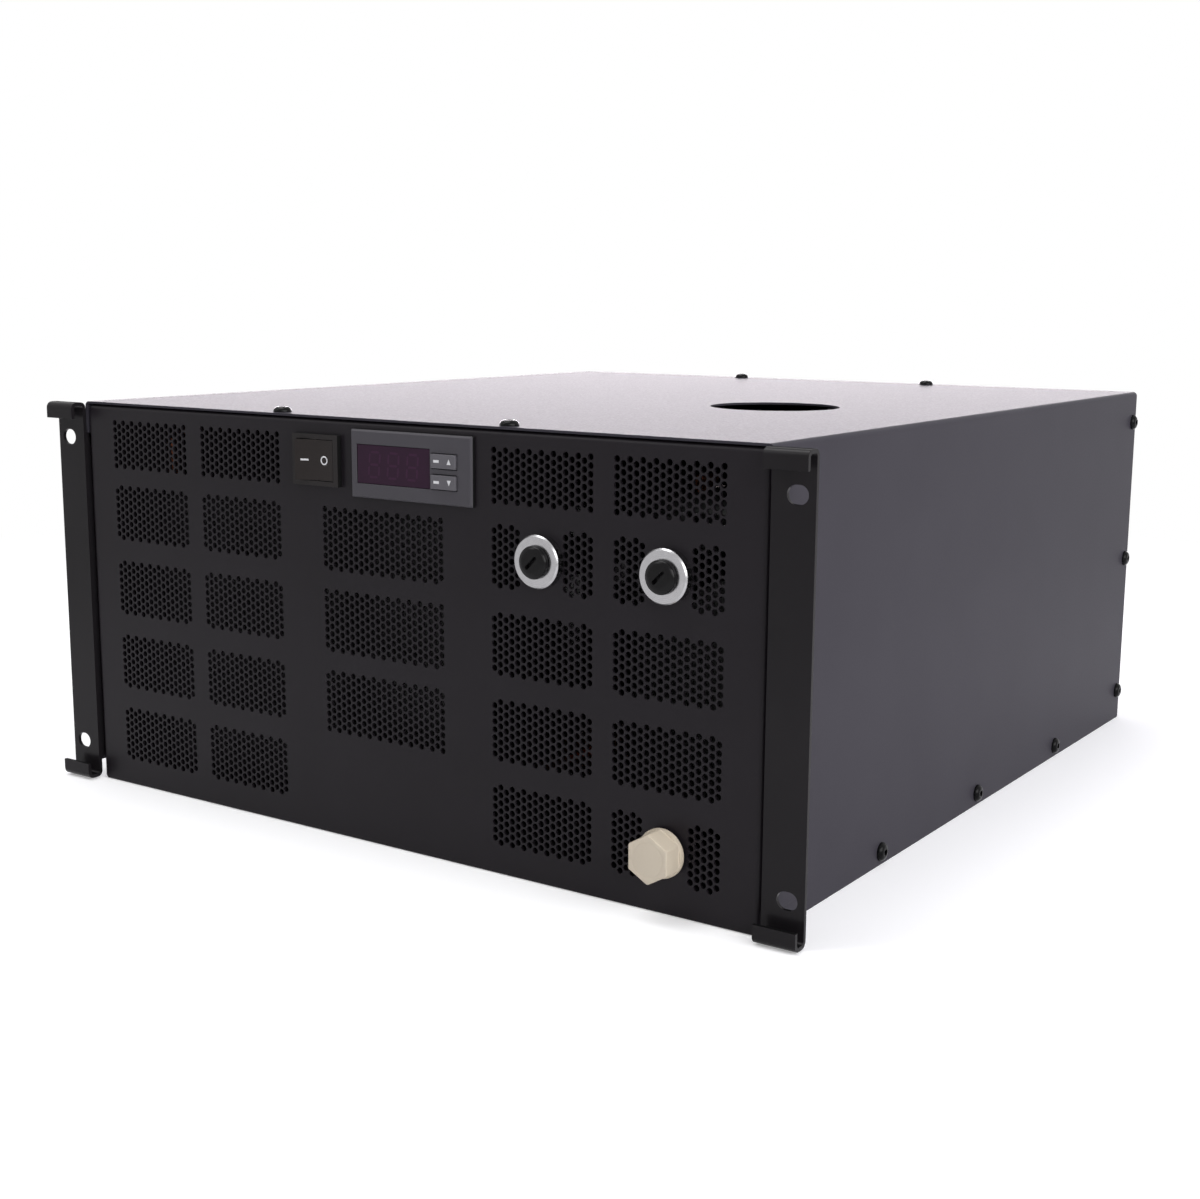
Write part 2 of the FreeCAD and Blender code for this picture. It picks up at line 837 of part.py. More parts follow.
def full_fields():
    """Middle and width of every whole vent field, with the row that its top is in."""
    spots = []
    for row in range(4):
        top = dim.field_first_top - row * dim.field_row_step
        for x in (-dim.field_outer_x, -dim.field_inner_x, dim.field_inner_x, dim.field_outer_x):
            beside_port = x.value > 0 and row == 0 or x is dim.field_outer_x and row == 3
            if beside_port:
                offset = (dim.field_width - dim.part_field_width) / 2
                spots.append((x - offset, dim.part_field_width, top))
                spots.append((x + offset, dim.part_field_width, top))
            else:
                spots.append((x, dim.field_width, top))
        if row < 3:
            spots.append((as_size(0), dim.middle_field_width, top))
    return spots


def vent_rows(body, name, fields, field_height):
    sketch = sketch_on(body, "XZ_Plane", name)
    for middle, width, top in fields:
        rectangle(sketch, about(middle, width), (top - dim.slot_height, top))
    slots = pocket_through(body, sketch)
    span = field_height - dim.slot_height
    repeat_along(body, slots, sketch, "V_Axis", span, SLOTS_PER_FIELD, backwards=True)


def make_front_panel():
    body = new_body("front_face")
    outline = sketch_on(body, "XZ_Plane", "front_outline")
    panel_outline(outline)
    gap = 2 * dim.cut_out_gap
    rectangle(outline, about(dim.switch_x, dim.switch_body_width + gap),
              about(dim.control_z, dim.switch_body_height + gap))
    rectangle(outline, about(dim.controller_x, dim.controller_body_width + gap),
              about(dim.control_z, dim.controller_body_height + gap))
    for x in PORTS_X.values():
        facet_circle(outline, x, dim.port_z, BARREL_RADIUS + dim.cut_out_gap)
    facet_circle(outline, dim.field_outer_x, dim.service_z, dim.service_barrel_radius + dim.cut_out_gap)
    pad(body, outline, dim.panel_sheet, backwards=True)
    upper = [(x, dim.field_width, dim.upper_field_top)
             for x in (-dim.field_outer_x, -dim.field_inner_x, dim.field_inner_x, dim.field_outer_x)]
    vent_rows(body, "upper_vents", upper, dim.upper_field_height)
    vent_rows(body, "lower_vents", full_fields(), dim.field_height)
    returns = panel_folds("front_fold", 0, 1, dim.return_depth, dim.side_return)
    returns.append(box("front_low_return", (-FOLD_HALF, FOLD_HALF), (0, dim.return_depth),
                       (FLOOR, FLOOR + dim.panel_sheet)))
    front_top = [(x, y) for x, y in top_screw_spots() if y is dim.top_screw_front]
    holes = side_holes("front_hole", ear_screw_spots()) + top_holes("front_hole", front_top)
    keep(cut("front", fuse("front_sheet_metal", [body] + returns), holes), "front_panel")


def make_rear_panel():
    body = new_body("rear_face")
    outline = sketch_on(body, "XZ_Plane", "rear_outline", -REAR_INNER)
    panel_outline(outline)
    gap = 2 * dim.cut_out_gap
    rectangle(outline, about(dim.mains_x, dim.mains_body_width + gap),
              about(dim.mains_z, dim.mains_body_height + gap))
    for x, z in ((WATER_X, dim.outlet_z), (dim.inlet_x, dim.inlet_z)):
        facet_circle(outline, x, z, dim.fitting_radius + dim.cut_out_gap)
    pad(body, outline, dim.panel_sheet, backwards=True)
    vents = sketch_on(body, "XZ_Plane", "rear_vents", -REAR_INNER)
    low = (dim.rear_vent_bottom, dim.rear_vent_bottom + dim.rear_vent_height)
    for i in range(2):
        start = dim.rear_vent_left + i * (dim.rear_vent_width + dim.rear_vent_gap)
        rectangle(vents, (start, start + dim.rear_vent_width), low)
    slots = pocket_through(body, vents)
    repeat_along(body, slots, vents, "V_Axis", dim.rear_vent_span, REAR_VENT_ROWS)
    depth = dim.panel_sheet + dim.return_depth
    returns = panel_folds("rear_fold", dim.case_depth, -1, depth, depth)
    returns.append(box("rear_low_return", (-FOLD_HALF, FOLD_HALF), (dim.case_depth - depth, dim.case_depth),
                       (FLOOR, FLOOR + dim.panel_sheet)))
    row, column = side_screw_spots()
    rear_top = [(x, y) for x, y in top_screw_spots() if y is not dim.top_screw_front]
    holes = side_holes("rear_hole", column) + top_holes("rear_hole", rear_top)
    keep(cut("rear", fuse("rear_sheet_metal", [body] + returns), holes), "rear_panel")


def make_ear(label, side):
    """A flat ear whose ends are folded forward and back into hooks, on a flange along the case."""
    body = new_body(label + "_plate")
    inner_edge = HALF_CASE if side > 0 else -(dim.rack_width / 2)
    section = sketch_on(body, "YZ_Plane", label + "_section", inner_edge)
    t = dim.ear_sheet
    high = dim.ear_height / 2
    reach = -dim.hook_reach
    polygon(section, [(0, -high), (0, high), (reach, high), (reach, high - dim.hook_lip),
                      (reach + t, high - dim.hook_lip), (reach + t, high - t), (-t, high - t), (-t, t - high),
                      (reach + t, t - high), (reach + t, dim.hook_lip - high), (reach, dim.hook_lip - high),
                      (reach, -high)])
    plate = pad(body, section, (dim.rack_width - dim.case_width) / 2)
    outside = [name for y in (0, reach) for z in (high, -high) for name in edges_at(plate, y=y, z=z)]
    plate = soften(body, "Fillet", "Radius", plate, dim.hook_bend + t, outside)
    inside = [name for y in (-t, reach + t) for z in (high - t, t - high)
              for name in edges_at(plate, y=y, z=z)]
    soften(body, "Fillet", "Radius", plate, dim.hook_bend, inside)
    flange_x = (HALF_CASE, HALF_CASE + t) if side > 0 else (-(HALF_CASE + t), -HALF_CASE)
    tall = (dim.ear_flange_inset - high, high - dim.ear_flange_inset)
    flange = box(label + "_flange", flange_x, (-t, dim.ear_flange), tall)
    cutters = []
    hole_x = side * dim.rack_hole_span / 2
    through = (-t - OVERCUT, OVERCUT)
    half_run = (dim.rack_slot_length - dim.rack_slot_width) / 2
    for i, z in enumerate((-(dim.rack_hole_rise / 2), dim.rack_hole_rise / 2)):
        name = "%s_slot%d" % (label, i)
        cutters.append(box(name, (hole_x - half_run, hole_x + half_run), through,
                           about(z, dim.rack_slot_width)))
        for end in (-1, 1):
            cutters.append(rod("%s_end%d" % (name, end > 0), "Y", dim.rack_slot_width / 2, through,
                               hole_x + end * half_run, z))
    for i, (y, z) in enumerate(ear_screw_spots()):
        cutters.append(screw_hole("%s_hole%d" % (label, i), "X", side * HALF_CASE, y, z))
    keep(cut(label, fuse(label + "_sheet_metal", [body, flange]), cutters), label)


def make_screws():
    row, column = side_screw_spots()
    cover = []
    ear = []
    for side in (-1, 1):
        face = side * HALF_CASE
        for i, (y, z) in enumerate(row + column):
            cover.append(button_screw("side_screw_%s%d" % ("lr"[side > 0], i), "X", face, side, y, z))
        outside = side * (HALF_CASE + dim.ear_sheet)
        for i, (y, z) in enumerate(ear_screw_spots()):
            ear.append(button_screw("ear_screw_%s%d" % ("lr"[side > 0], i), "X", outside, side, y, z))
    for i, (x, y) in enumerate(top_screw_spots()):
        cover.append(button_screw("top_screw%d" % i, "Z", CASE_TOP, 1, x, y))
    keep(group("cover_screw_set", cover), "cover_screws")
    keep(group("ear_screw_set", ear), "ear_screws")


def make_switch():
    x, z = dim.switch_x, dim.control_z
    bezel = box("switch_bezel", about(x, dim.switch_width), (-dim.switch_proud, 0),
                about(z, dim.switch_height))
    case = box("switch_case", about(x, dim.switch_body_width), (0, dim.switch_depth),
               about(z, dim.switch_body_height))
    half_bay = dim.rocker_front_half + 2 * dim.rocker_gap
    bay_length = dim.rocker_length + 2 * dim.fit_gap
    bay = box("switch_bay", (x - half_bay, x + half_bay), (-dim.switch_proud - OVERCUT, dim.switch_cavity),
              about(z, bay_length))
    seats = rod("switch_seats", "Z", dim.pivot_radius + dim.running_gap,
                about(z, dim.rocker_length + 2 * dim.pivot_length + dim.fit_gap), x, PIVOT_Y)
    keep(cut("switch", fuse("switch_moulding", [bezel, case]), [bay, seats]), "switch_housing")

    body = new_body("rocker")
    shape = sketch_on(body, "XY_Plane", "rocker_shape")
    slope = dim.rocker_front_half * math.tan(math.radians(dim.rocker_swing.value / 2))
    end = -dim.rocker_middle - slope
    back = dim.rocker_thickness - dim.rocker_middle
    polygon(shape, [(-dim.rocker_front_half, end), (0, -dim.rocker_middle), (dim.rocker_front_half, end),
                    (dim.rocker_back_half, back), (-dim.rocker_back_half, back)])
    pad(body, shape, dim.rocker_length, both_ways=True)
    pins = sketch_on(body, "XY_Plane", "rocker_pins")
    circle(pins, 0, 0, dim.pivot_radius)
    pad(body, pins, dim.rocker_length + 2 * dim.pivot_length, both_ways=True)
    body.Placement = Placement(Vector(), Rotation(Vector(0, 0, 1), dim.rocker_swing.value / 2))
    bind(body, "Placement.Rotation.Angle", dim.rocker_swing / 2)
    place(body, x, PIVOT_Y, z)
    keep(body, "switch_rocker")


def make_controller():
    x, z = dim.controller_x, dim.control_z
    body = new_body("bezel")
    face = sketch_on(body, "XZ_Plane", "bezel_face")
    rectangle(face, about(x, dim.controller_width), about(z, dim.controller_height))
    gap = 2 * dim.window_gap
    rectangle(face, about(dim.window_x, dim.window_width + gap), about(z, dim.window_height + gap))
    for key_z in (dim.key_up_z, dim.key_down_z):
        rectangle(face, about(dim.key_x, dim.key_width + 2 * dim.fit_gap),
                  about(key_z, dim.key_height + 2 * dim.fit_gap))
    front = pad(body, face, dim.controller_proud)
    rim = []
    for side in about(x, dim.controller_width):
        rim += edges_at(front, x=side, y=-dim.controller_proud)
    for level in about(z, dim.controller_height):
        rim += edges_at(front, z=level, y=-dim.controller_proud)
    soften(body, "Chamfer", "Size", front, dim.controller_chamfer, rim)
    keep(body, "controller_bezel")

    shell = box("controller_shell", about(x, dim.controller_body_width), (0, dim.controller_depth),
                about(z, dim.controller_body_height))
    inner_width = dim.controller_body_width - 2 * dim.controller_wall
    inner_height = dim.controller_body_height - 2 * dim.controller_wall
    hollow = box("controller_hollow", about(x, inner_width),
                 (-OVERCUT, dim.controller_depth - dim.controller_wall), about(z, inner_height))
    keep(cut("controller_case", shell, [hollow]), "controller_housing")

    window_front = dim.window_inset - dim.controller_proud
    window = box("window_plate", about(dim.window_x, dim.window_width),
                 (window_front, window_front + dim.window_sheet), about(z, dim.window_height))
    keep(window, "controller_window")

    board_y = (dim.board_front, dim.board_front + dim.board_sheet)
    push_front = dim.board_front - dim.push_switch_height
    parts = [
        box("controller_card", about(x, inner_width - 2 * dim.board_margin), board_y,
            about(z, inner_height - 2 * dim.board_margin)),
        box("display_block", about(dim.window_x, dim.display_width),
            (dim.board_front - dim.display_height, dim.board_front), about(z, dim.window_height)),
    ]
    stem_end = push_front - dim.key_travel - dim.key_stop_gap
    key_front = -dim.controller_proud - dim.key_proud
    for label, key_z in (("key_up", dim.key_up_z), ("key_down", dim.key_down_z)):
        parts.append(box(label + "_switch", about(dim.key_x, dim.push_switch_size),
                         (push_front, dim.board_front), about(key_z, dim.push_switch_size)))
        cap = box(label + "_cap", about(dim.key_x, dim.key_width), (key_front, key_front + dim.key_thickness),
                  about(key_z, dim.key_height))
        stem = box(label + "_stem", about(dim.key_x, dim.key_stem),
                   (key_front + dim.key_thickness / 2, stem_end), about(key_z, dim.key_stem))
        keep(fuse(label + "_moulding", [cap, stem]), label)
    keep(fuse("controller_electronics", parts), "controller_board")

    half = dim.controller_body_width / 2
    run = (dim.panel_sheet, dim.panel_sheet + dim.clip_length)
    keep(group("clip_pair", [
        box("clip_left", (x - half - dim.clip_thickness, x - half), run, about(z, dim.clip_width)),
        box("clip_right", (x + half, x + half + dim.clip_thickness), run, about(z, dim.clip_width)),
    ]), "controller_clips")


def port_body(name, x):
    z = dim.port_z
    chamfer = dim.collar_chamfer
    collar = turned(name + "_collar", "Y", [
        (0, 0), (COLLAR_RADIUS - chamfer, 0), (COLLAR_RADIUS, chamfer), (COLLAR_RADIUS, dim.collar_proud),
        (0, dim.collar_proud),
    ], -dim.collar_proud, x, z)
    barrel = post(name + "_barrel", "Y", BARREL_RADIUS, (-OVERCUT, dim.barrel_end), x, z)
    tail = post(name + "_tail", "Y", dim.tail_radius, (0, dim.barrel_end + dim.tail_length), x, z)
    recess = socket(name + "_recess", "Y", RECESS, (-dim.collar_proud - OVERCUT, SHOULDER), x, z, CAP_SIDES)
    turning = fuse(name + "_turning", [collar, barrel, tail])
    return cut(name + "_body", turning, [recess] + thread_bores(name, x, z))


def thread_bores(name, x, z):
    """The thread's bore for a plug's shank, and the narrow bore on to the end of the hose tail."""
    front = -dim.collar_proud - OVERCUT
    thread = socket(name + "_thread", "Y", dim.plug_shank_radius + dim.running_gap,
                    (front, dim.barrel_end - dim.seal_thickness), x, z)
    bore = socket(name + "_bore", "Y", dim.tail_bore,
                  (front, dim.barrel_end + dim.tail_length + OVERCUT), x, z)
    return [thread, bore]


def plug_head(name, x, z):
    """A round head whose front edge is bevelled down to the flat face that the slot crosses."""
    body = new_body(name)
    face = sketch_on(body, "XZ_Plane", name + "_face", -PLUG_FRONT)
    facet_circle(face, x, z, dim.plug_head_radius * math.cos(math.pi / ROUND_SIDES), ROUND_SIDES)
    block = pad(body, face, dim.plug_head_height, backwards=True)
    bevel = soften(body, "Chamfer", "Size", block, dim.plug_dome, edges_at(block, y=PLUG_FRONT))
    bevel.ChamferType = "Two distances"
    bind(bevel, "Size2", dim.plug_dome_width)
    return body


def make_plug(name, x):
    z = dim.port_z
    head = plug_head(name + "_head", x, z)
    shank = post(name + "_shank_post", "Y", dim.plug_shank_radius, (HEAD_BACK - OVERCUT, dim.plug_shank_end),
                 x, z)
    slot = doc.addObject("Part::Box", name + "_slot")
    bind(slot, "Length", 2 * DOME_RADIUS)
    bind(slot, "Width", dim.plug_slot_depth + OVERCUT)
    bind(slot, "Height", dim.plug_slot_width)
    slot.Placement = Placement(Vector(), Rotation(Vector(0, -1, 0), dim.plug_slot_turn.value))
    bind(slot, "Placement.Rotation.Angle", dim.plug_slot_turn)
    along, across = DOME_RADIUS, dim.plug_slot_width / 2
    turn_cos, turn_sin = cosine(dim.plug_slot_turn), sine(dim.plug_slot_turn)
    place(slot, x - along * turn_cos + across * turn_sin, PLUG_FRONT - OVERCUT,
          z - along * turn_sin - across * turn_cos)
    keep(cut(name + "_cap", fuse(name + "_screw", [head, shank]), [slot]), name + "_plug")

    seal = ring(name + "_gasket", "Y", SEAL_RADIUS, dim.plug_shank_radius + dim.seal_gap,
                (SEAL_FRONT, SEAL_FRONT + dim.seal_thickness), x, z, CAP_SIDES)
    keep(seal, name + "_seal")


def make_nuts():
    nuts = []
    front = (dim.panel_sheet, dim.panel_sheet + dim.nut_height)
    rear = (REAR_INNER - dim.nut_height, REAR_INNER)
    spots = [(name, x, dim.port_z, front, BARREL_RADIUS) for name, x in PORTS_X.items()]
    spots.append(("outlet", WATER_X, dim.outlet_z, rear, dim.fitting_radius))
    spots.append(("inlet", dim.inlet_x, dim.inlet_z, rear, dim.fitting_radius))
    for name, x, z, span, radius in spots:
        blank = prism(name + "_blank", "Y", HEX, around(radius + dim.nut_wall, HEX), span, x, z)
        bore = post(name + "_nut_bore", "Y", radius + dim.running_gap,
                    (span[0] - OVERCUT, span[1] + OVERCUT), x, z)
        nuts.append(cut(name + "_nut", blank, [bore]))
    keep(group("nut_set", nuts), "bulkhead_nuts")


def service_body():
    x, z = dim.field_outer_x, dim.service_z
    flange = (dim.panel_sheet, dim.panel_sheet + dim.service_flange_thickness)
    parts = [
        post("service_bush", "Y", dim.service_barrel_radius, (0, flange[1]), x, z),
        post("service_back", "Y", dim.service_back_radius, flange, x, z),
        post("service_barrel", "Y", BARREL_RADIUS, (flange[0], dim.barrel_end), x, z),
        post("service_tail", "Y", dim.tail_radius, (flange[0], dim.barrel_end + dim.tail_length), x, z),
    ]
    return cut("service_body", fuse("service_turning", parts), thread_bores("service", x, z))


def make_ports():
    bodies = [port_body(name, x) for name, x in PORTS_X.items()]
    keep(group("port_set", bodies + [service_body()]), "coolant_ports")
    for name, x in PORTS_X.items():
        make_plug(name, x)

    x, z = dim.field_outer_x, dim.service_z
    head = prism("service_hex", "Y", HEX, around(dim.service_flats / 2, HEX),
                 (-dim.service_proud, -dim.service_flange_front), x, z, POINT_UP)
    disc = rod("service_disc", "Y", dim.service_flange_radius,
               (-dim.service_flange_front, -dim.service_flange_back), x, z)
    shank = post("service_shank", "Y", dim.plug_shank_radius,
                 (-dim.service_flange_front, dim.plug_shank_end), x, z)
    keep(fuse("service_screw", [head, disc, shank]), "service_plug")
    seal_start = dim.fit_gap - dim.service_flange_back
    span = (seal_start, seal_start + dim.service_seal_thickness)
    seal = ring("service_gasket", "Y", dim.service_flange_radius - dim.seal_gap,
                dim.plug_shank_radius + dim.seal_gap, span, x, z)
    keep(seal, "service_seal")


def front_hose_spots():
    spots = [(x, dim.port_z) for x in PORTS_X.values()]
    return spots + [(dim.field_outer_x, dim.service_z)]


def make_tank():
    body = new_body("tank_blank")
    plan = sketch_on(body, "XY_Plane", "tank_plan", FLOOR)
    rectangle(plan, (dim.tank_left, dim.tank_right), (dim.tank_front, dim.tank_back))
    block = pad(body, plan, dim.tank_top - FLOOR)
    corners = []
    for x in (dim.tank_left, dim.tank_right):
        for y in (dim.tank_front, dim.tank_back):
            corners += edges_at(block, x=x, y=y)
    soften(body, "Fillet", "Radius", block, dim.tank_corner, corners)
    wall = dim.tank_wall
    hollow = box("tank_hollow", (dim.tank_left + wall, dim.tank_right - wall),
                 (dim.tank_front + wall, dim.tank_back - wall), (FLOOR + wall, dim.tank_top - wall))
    brim = dim.tank_top + dim.neck_height
    neck = post("tank_neck", "Z", dim.neck_radius, (dim.tank_top - wall, brim), dim.access_x, dim.access_y,
                CAP_SIDES)
    throat = post("tank_throat", "Z", dim.neck_bore, (dim.tank_top - 2 * wall, brim + OVERCUT),
                  dim.access_x, dim.access_y, CAP_SIDES)
    tails = []
    bores = []
    front = (dim.tank_front - dim.tail_length, dim.tank_front + wall)
    rear = (dim.tank_back - wall, dim.tank_back + dim.pump_tail)
    spots = [(x, z, front) for x, z in front_hose_spots()]
    spots += [(x, z, rear) for x, z in ((dim.pump_x, dim.pump_z), (dim.inlet_x, dim.inlet_z))]
    for i, (x, z, span) in enumerate(spots):
        tails.append(post("tank_tail%d" % i, "Y", dim.tail_radius, span, x, z))
        bores.append(socket("tank_bore%d" % i, "Y", dim.tail_bore, (span[0] - wall, span[1] + wall), x, z))
    keep(cut("tank", fuse("tank_moulding", [body, neck] + tails), [hollow, throat] + bores), "reservoir")

    seal_low = brim + dim.fit_gap
    ceiling = seal_low + dim.seal_thickness + dim.fit_gap
    cap = post("cap_blank", "Z", dim.cap_radius, (ceiling - dim.cap_skirt, ceiling + dim.cap_top),
               dim.access_x, dim.access_y, CAP_SIDES)
    skirt = socket("cap_skirt", "Z", dim.neck_radius + dim.fit_gap,
                   (ceiling - dim.cap_skirt - OVERCUT, ceiling), dim.access_x, dim.access_y, CAP_SIDES)
    keep(cut("cap", cap, [skirt]), "tank_cap")
    keep(ring("tank_gasket", "Z", dim.neck_radius - dim.seal_gap, dim.neck_bore + dim.seal_gap,
              (seal_low, seal_low + dim.seal_thickness), dim.access_x, dim.access_y, CAP_SIDES), "cap_seal")


def make_pump():
    x, z = dim.pump_x, dim.pump_z
    end = VOLUTE_BACK + dim.motor_length
    outlet_top = z + dim.volute_radius + dim.tail_length
    parts = [
        post("pump_tail", "Y", dim.tail_radius, (dim.pump_front, VOLUTE_BACK), x, z),
        post("pump_volute", "Y", dim.volute_radius, (VOLUTE_FRONT, VOLUTE_BACK), x, z, CAP_SIDES),
        post("pump_motor", "Y", dim.motor_radius, (VOLUTE_FRONT, end), x, z, CAP_SIDES),
        post("pump_outlet", "Z", dim.tail_radius, (z, outlet_top), x, OUTLET_Y),
    ]
    keep(fuse("pump_unit", parts), "pump")
    middle = VOLUTE_BACK + dim.motor_length / 2
    rest = box("saddle_block", about(x, dim.saddle_width), about(middle, dim.saddle_length),
               (FLOOR, dim.saddle_top))
    bed = post("saddle_bed", "Y", dim.motor_radius + dim.seat_gap, about(middle, 2 * dim.saddle_length), x, z,
               CAP_SIDES)
    keep(cut("saddle", rest, [bed]), "pump_saddle")


def make_hoses():
    end_gap = dim.hose_end_gap
    reservoir = []
    for i, (x, z) in enumerate(front_hose_spots()):
        span = (dim.barrel_end + end_gap, dim.tank_front - end_gap)
        reservoir.append(ring("front_hose%d" % i, "Y", HOSE_RADIUS, HOSE_BORE, span, x, z))
    keep(group("front_hose_set", reservoir), "reservoir_hoses")

    barb_shoulder = REAR_INNER - dim.fitting_inside
    suction = ring("pump_hose", "Y", HOSE_RADIUS, HOSE_BORE,
                   (dim.tank_back + end_gap, VOLUTE_FRONT - end_gap), dim.pump_x, dim.pump_z)
    outlet = ring("outlet_hose", "Y", HOSE_RADIUS, HOSE_BORE,
                  (dim.exchanger_back + end_gap, barb_shoulder - end_gap), WATER_X, dim.outlet_z)
    inlet = ring("inlet_hose", "Y", HOSE_RADIUS, HOSE_BORE,
                 (dim.tank_back + end_gap, barb_shoulder - end_gap), dim.inlet_x, dim.inlet_z)
    start = (dim.pump_x, OUTLET_Y, dim.pump_z + dim.volute_radius + end_gap)
    corner = (dim.pump_x, OUTLET_Y, dim.exchanger_high_port)
    finish = (dim.pump_x, dim.exchanger_front - end_gap, dim.exchanger_high_port)
    skin = pipe("rise_hose_skin", HOSE_RADIUS, [start, corner, finish], HIDDEN_SIDES)
    inner_start = step_along(start, (0, 0, 1), -OVERCUT)
    inner_finish = step_along(finish, (0, 1, 0), OVERCUT)
    inner = pipe("rise_hose_bore", around(HOSE_BORE, HIDDEN_SIDES), [inner_start, corner, inner_finish],
                 HIDDEN_SIDES)
    rise = cut("rise_hose", skin, [inner])
    keep(group("coolant_hose_set", [suction, outlet, inlet, rise]), "coolant_hoses")


def make_fittings():
    fittings = []
    face = dim.case_depth
    nose = face + dim.fitting_proud
    inside = REAR_INNER - dim.fitting_inside
    for name, x, z in (("outlet", WATER_X, dim.outlet_z), ("inlet", dim.inlet_x, dim.inlet_z)):
        parts = [
            post(name + "_tail", "Y", dim.tail_radius, (inside - dim.tail_length, face), x, z),
            post(name + "_barrel", "Y", dim.fitting_radius, (inside, face), x, z),
            prism(name + "_flange", "Y", HEX, around(dim.fitting_flange_radius, HEX),
                  (face, face + dim.fitting_flange), x, z),
            rod(name + "_nose", "Y", dim.fitting_nose_radius, (face, nose), x, z),
        ]
        bores = [
            rod(name + "_thread", "Y", dim.fitting_thread_radius,
                (nose - dim.fitting_thread_length, nose + OVERCUT), x, z),
            socket(name + "_way", "Y", dim.tail_bore, (inside - dim.tail_length - OVERCUT, nose), x, z),
        ]
        fittings.append(cut("coolant_" + name, fuse(name + "_turning", parts), bores))
    keep(group("coolant_pair", fittings), "coolant_fittings")


def make_exchanger():
    x = dim.exchanger_x
    inset = dim.exchanger_inset
    width = dim.exchanger_width
    depth = (dim.exchanger_front, dim.exchanger_back)
    parts = [box("exchanger_core", about(x, width - 2 * inset), depth,
                 (FLOOR + inset, dim.exchanger_top - inset))]
    step = (depth[1] - depth[0] - dim.plate_thickness) / (PLATES - 1)
    for i in range(PLATES):
        front = depth[0] + i * step
        parts.append(box("exchanger_plate%d" % i, about(x, width), (front, front + dim.plate_thickness),
                         (FLOOR, dim.exchanger_top)))
    ahead = (EXCHANGER_STUB, dim.exchanger_front + inset)
    behind = (dim.exchanger_back - inset, dim.exchanger_back + dim.stub_length)
    parts += [
        post("stub_liquid", "Y", dim.liquid_radius + inset, ahead, dim.line_x, dim.exchanger_low_port),
        post("stub_suction", "Y", dim.suction_radius + inset, ahead, dim.line_x, dim.exchanger_high_port),
        post("stub_water_in", "Y", dim.tail_radius, ahead, WATER_X, dim.exchanger_high_port),
        post("stub_water_out", "Y", dim.tail_radius, behind, WATER_X, dim.outlet_z),
    ]
    keep(fuse("exchanger", parts), "heat_exchanger")


def foot_spots():
    spots = []
    for angle in FOOT_ANGLES:
        turn = math.radians(angle)
        spots.append((dim.compressor_x + dim.foot_circle * math.cos(turn),
                      dim.compressor_y + dim.foot_circle * math.sin(turn)))
    return spots


def make_compressor():
    x, y = dim.compressor_x, dim.compressor_y
    can = new_body("compressor_can")
    plan = sketch_on(can, "XY_Plane", "can_plan", FOOT_TOP)
    facet_circle(plan, x, y, dim.compressor_radius, CAP_SIDES)
    block = pad(can, plan, dim.compressor_height)
    block = soften(can, "Chamfer", "Size", block, dim.compressor_dome, edges_at(block, z=COMPRESSOR_TOP))
    soften(can, "Chamfer", "Size", block, dim.compressor_heel, edges_at(block, z=FOOT_TOP))
    plate = new_body("foot_plate")
    outline = sketch_on(plate, "XY_Plane", "foot_outline", FOOT_BOTTOM)
    half = dim.foot_width / 2
    corners = []
    for angle in FOOT_ANGLES:
        along_x, along_y = math.cos(math.radians(angle)), math.sin(math.radians(angle))
        for side in (-1, 1):
            corners.append((x + dim.foot_reach * along_x - side * half * along_y,
                            y + dim.foot_reach * along_y + side * half * along_x))
    polygon(outline, corners)
    grommets = []
    bolts = []
    for i, (foot_x, foot_y) in enumerate(foot_spots()):
        facet_circle(outline, foot_x, foot_y, dim.foot_hole_radius, HEX)
        grommets.append(ring("grommet%d" % i, "Z", dim.grommet_radius, dim.grommet_bore,
                             (FLOOR, FOOT_BOTTOM), foot_x, foot_y))
        bolts.append(fuse("foot_bolt%d" % i, [
            post("foot_shank%d" % i, "Z", dim.bolt_radius, (FLOOR, FOOT_TOP + dim.bolt_head / 2),
                 foot_x, foot_y, HEX),
            prism("foot_head%d" % i, "Z", HEX, around(dim.bolt_flats / 2, HEX),
                  (FOOT_TOP, FOOT_TOP + dim.bolt_head), foot_x, foot_y),
        ]))
    pad(plate, outline, dim.foot_sheet)
    keep(fuse("compressor_weldment", [can, plate]), "compressor")
    keep(group("grommet_set", grommets), "compressor_grommets")
    keep(group("foot_bolt_set", bolts), "compressor_bolts")

    front = y - dim.compressor_radius - dim.terminal_depth
    lid = box("terminal_block", about(x, dim.terminal_width), (front, y),
              (dim.terminal_low, dim.terminal_high))
    can_space = socket("terminal_space", "Z", dim.compressor_radius + dim.seat_gap,
                       (dim.terminal_low - OVERCUT, dim.terminal_high + OVERCUT), x, y, CAP_SIDES)
    keep(cut("terminal_lid", lid, [can_space]), "terminal_cover")
    keep(post("accumulator_pot", "Z", dim.accumulator_radius, (dim.accumulator_low, dim.accumulator_high),
              dim.line_x, y, CAP_SIDES), "accumulator")


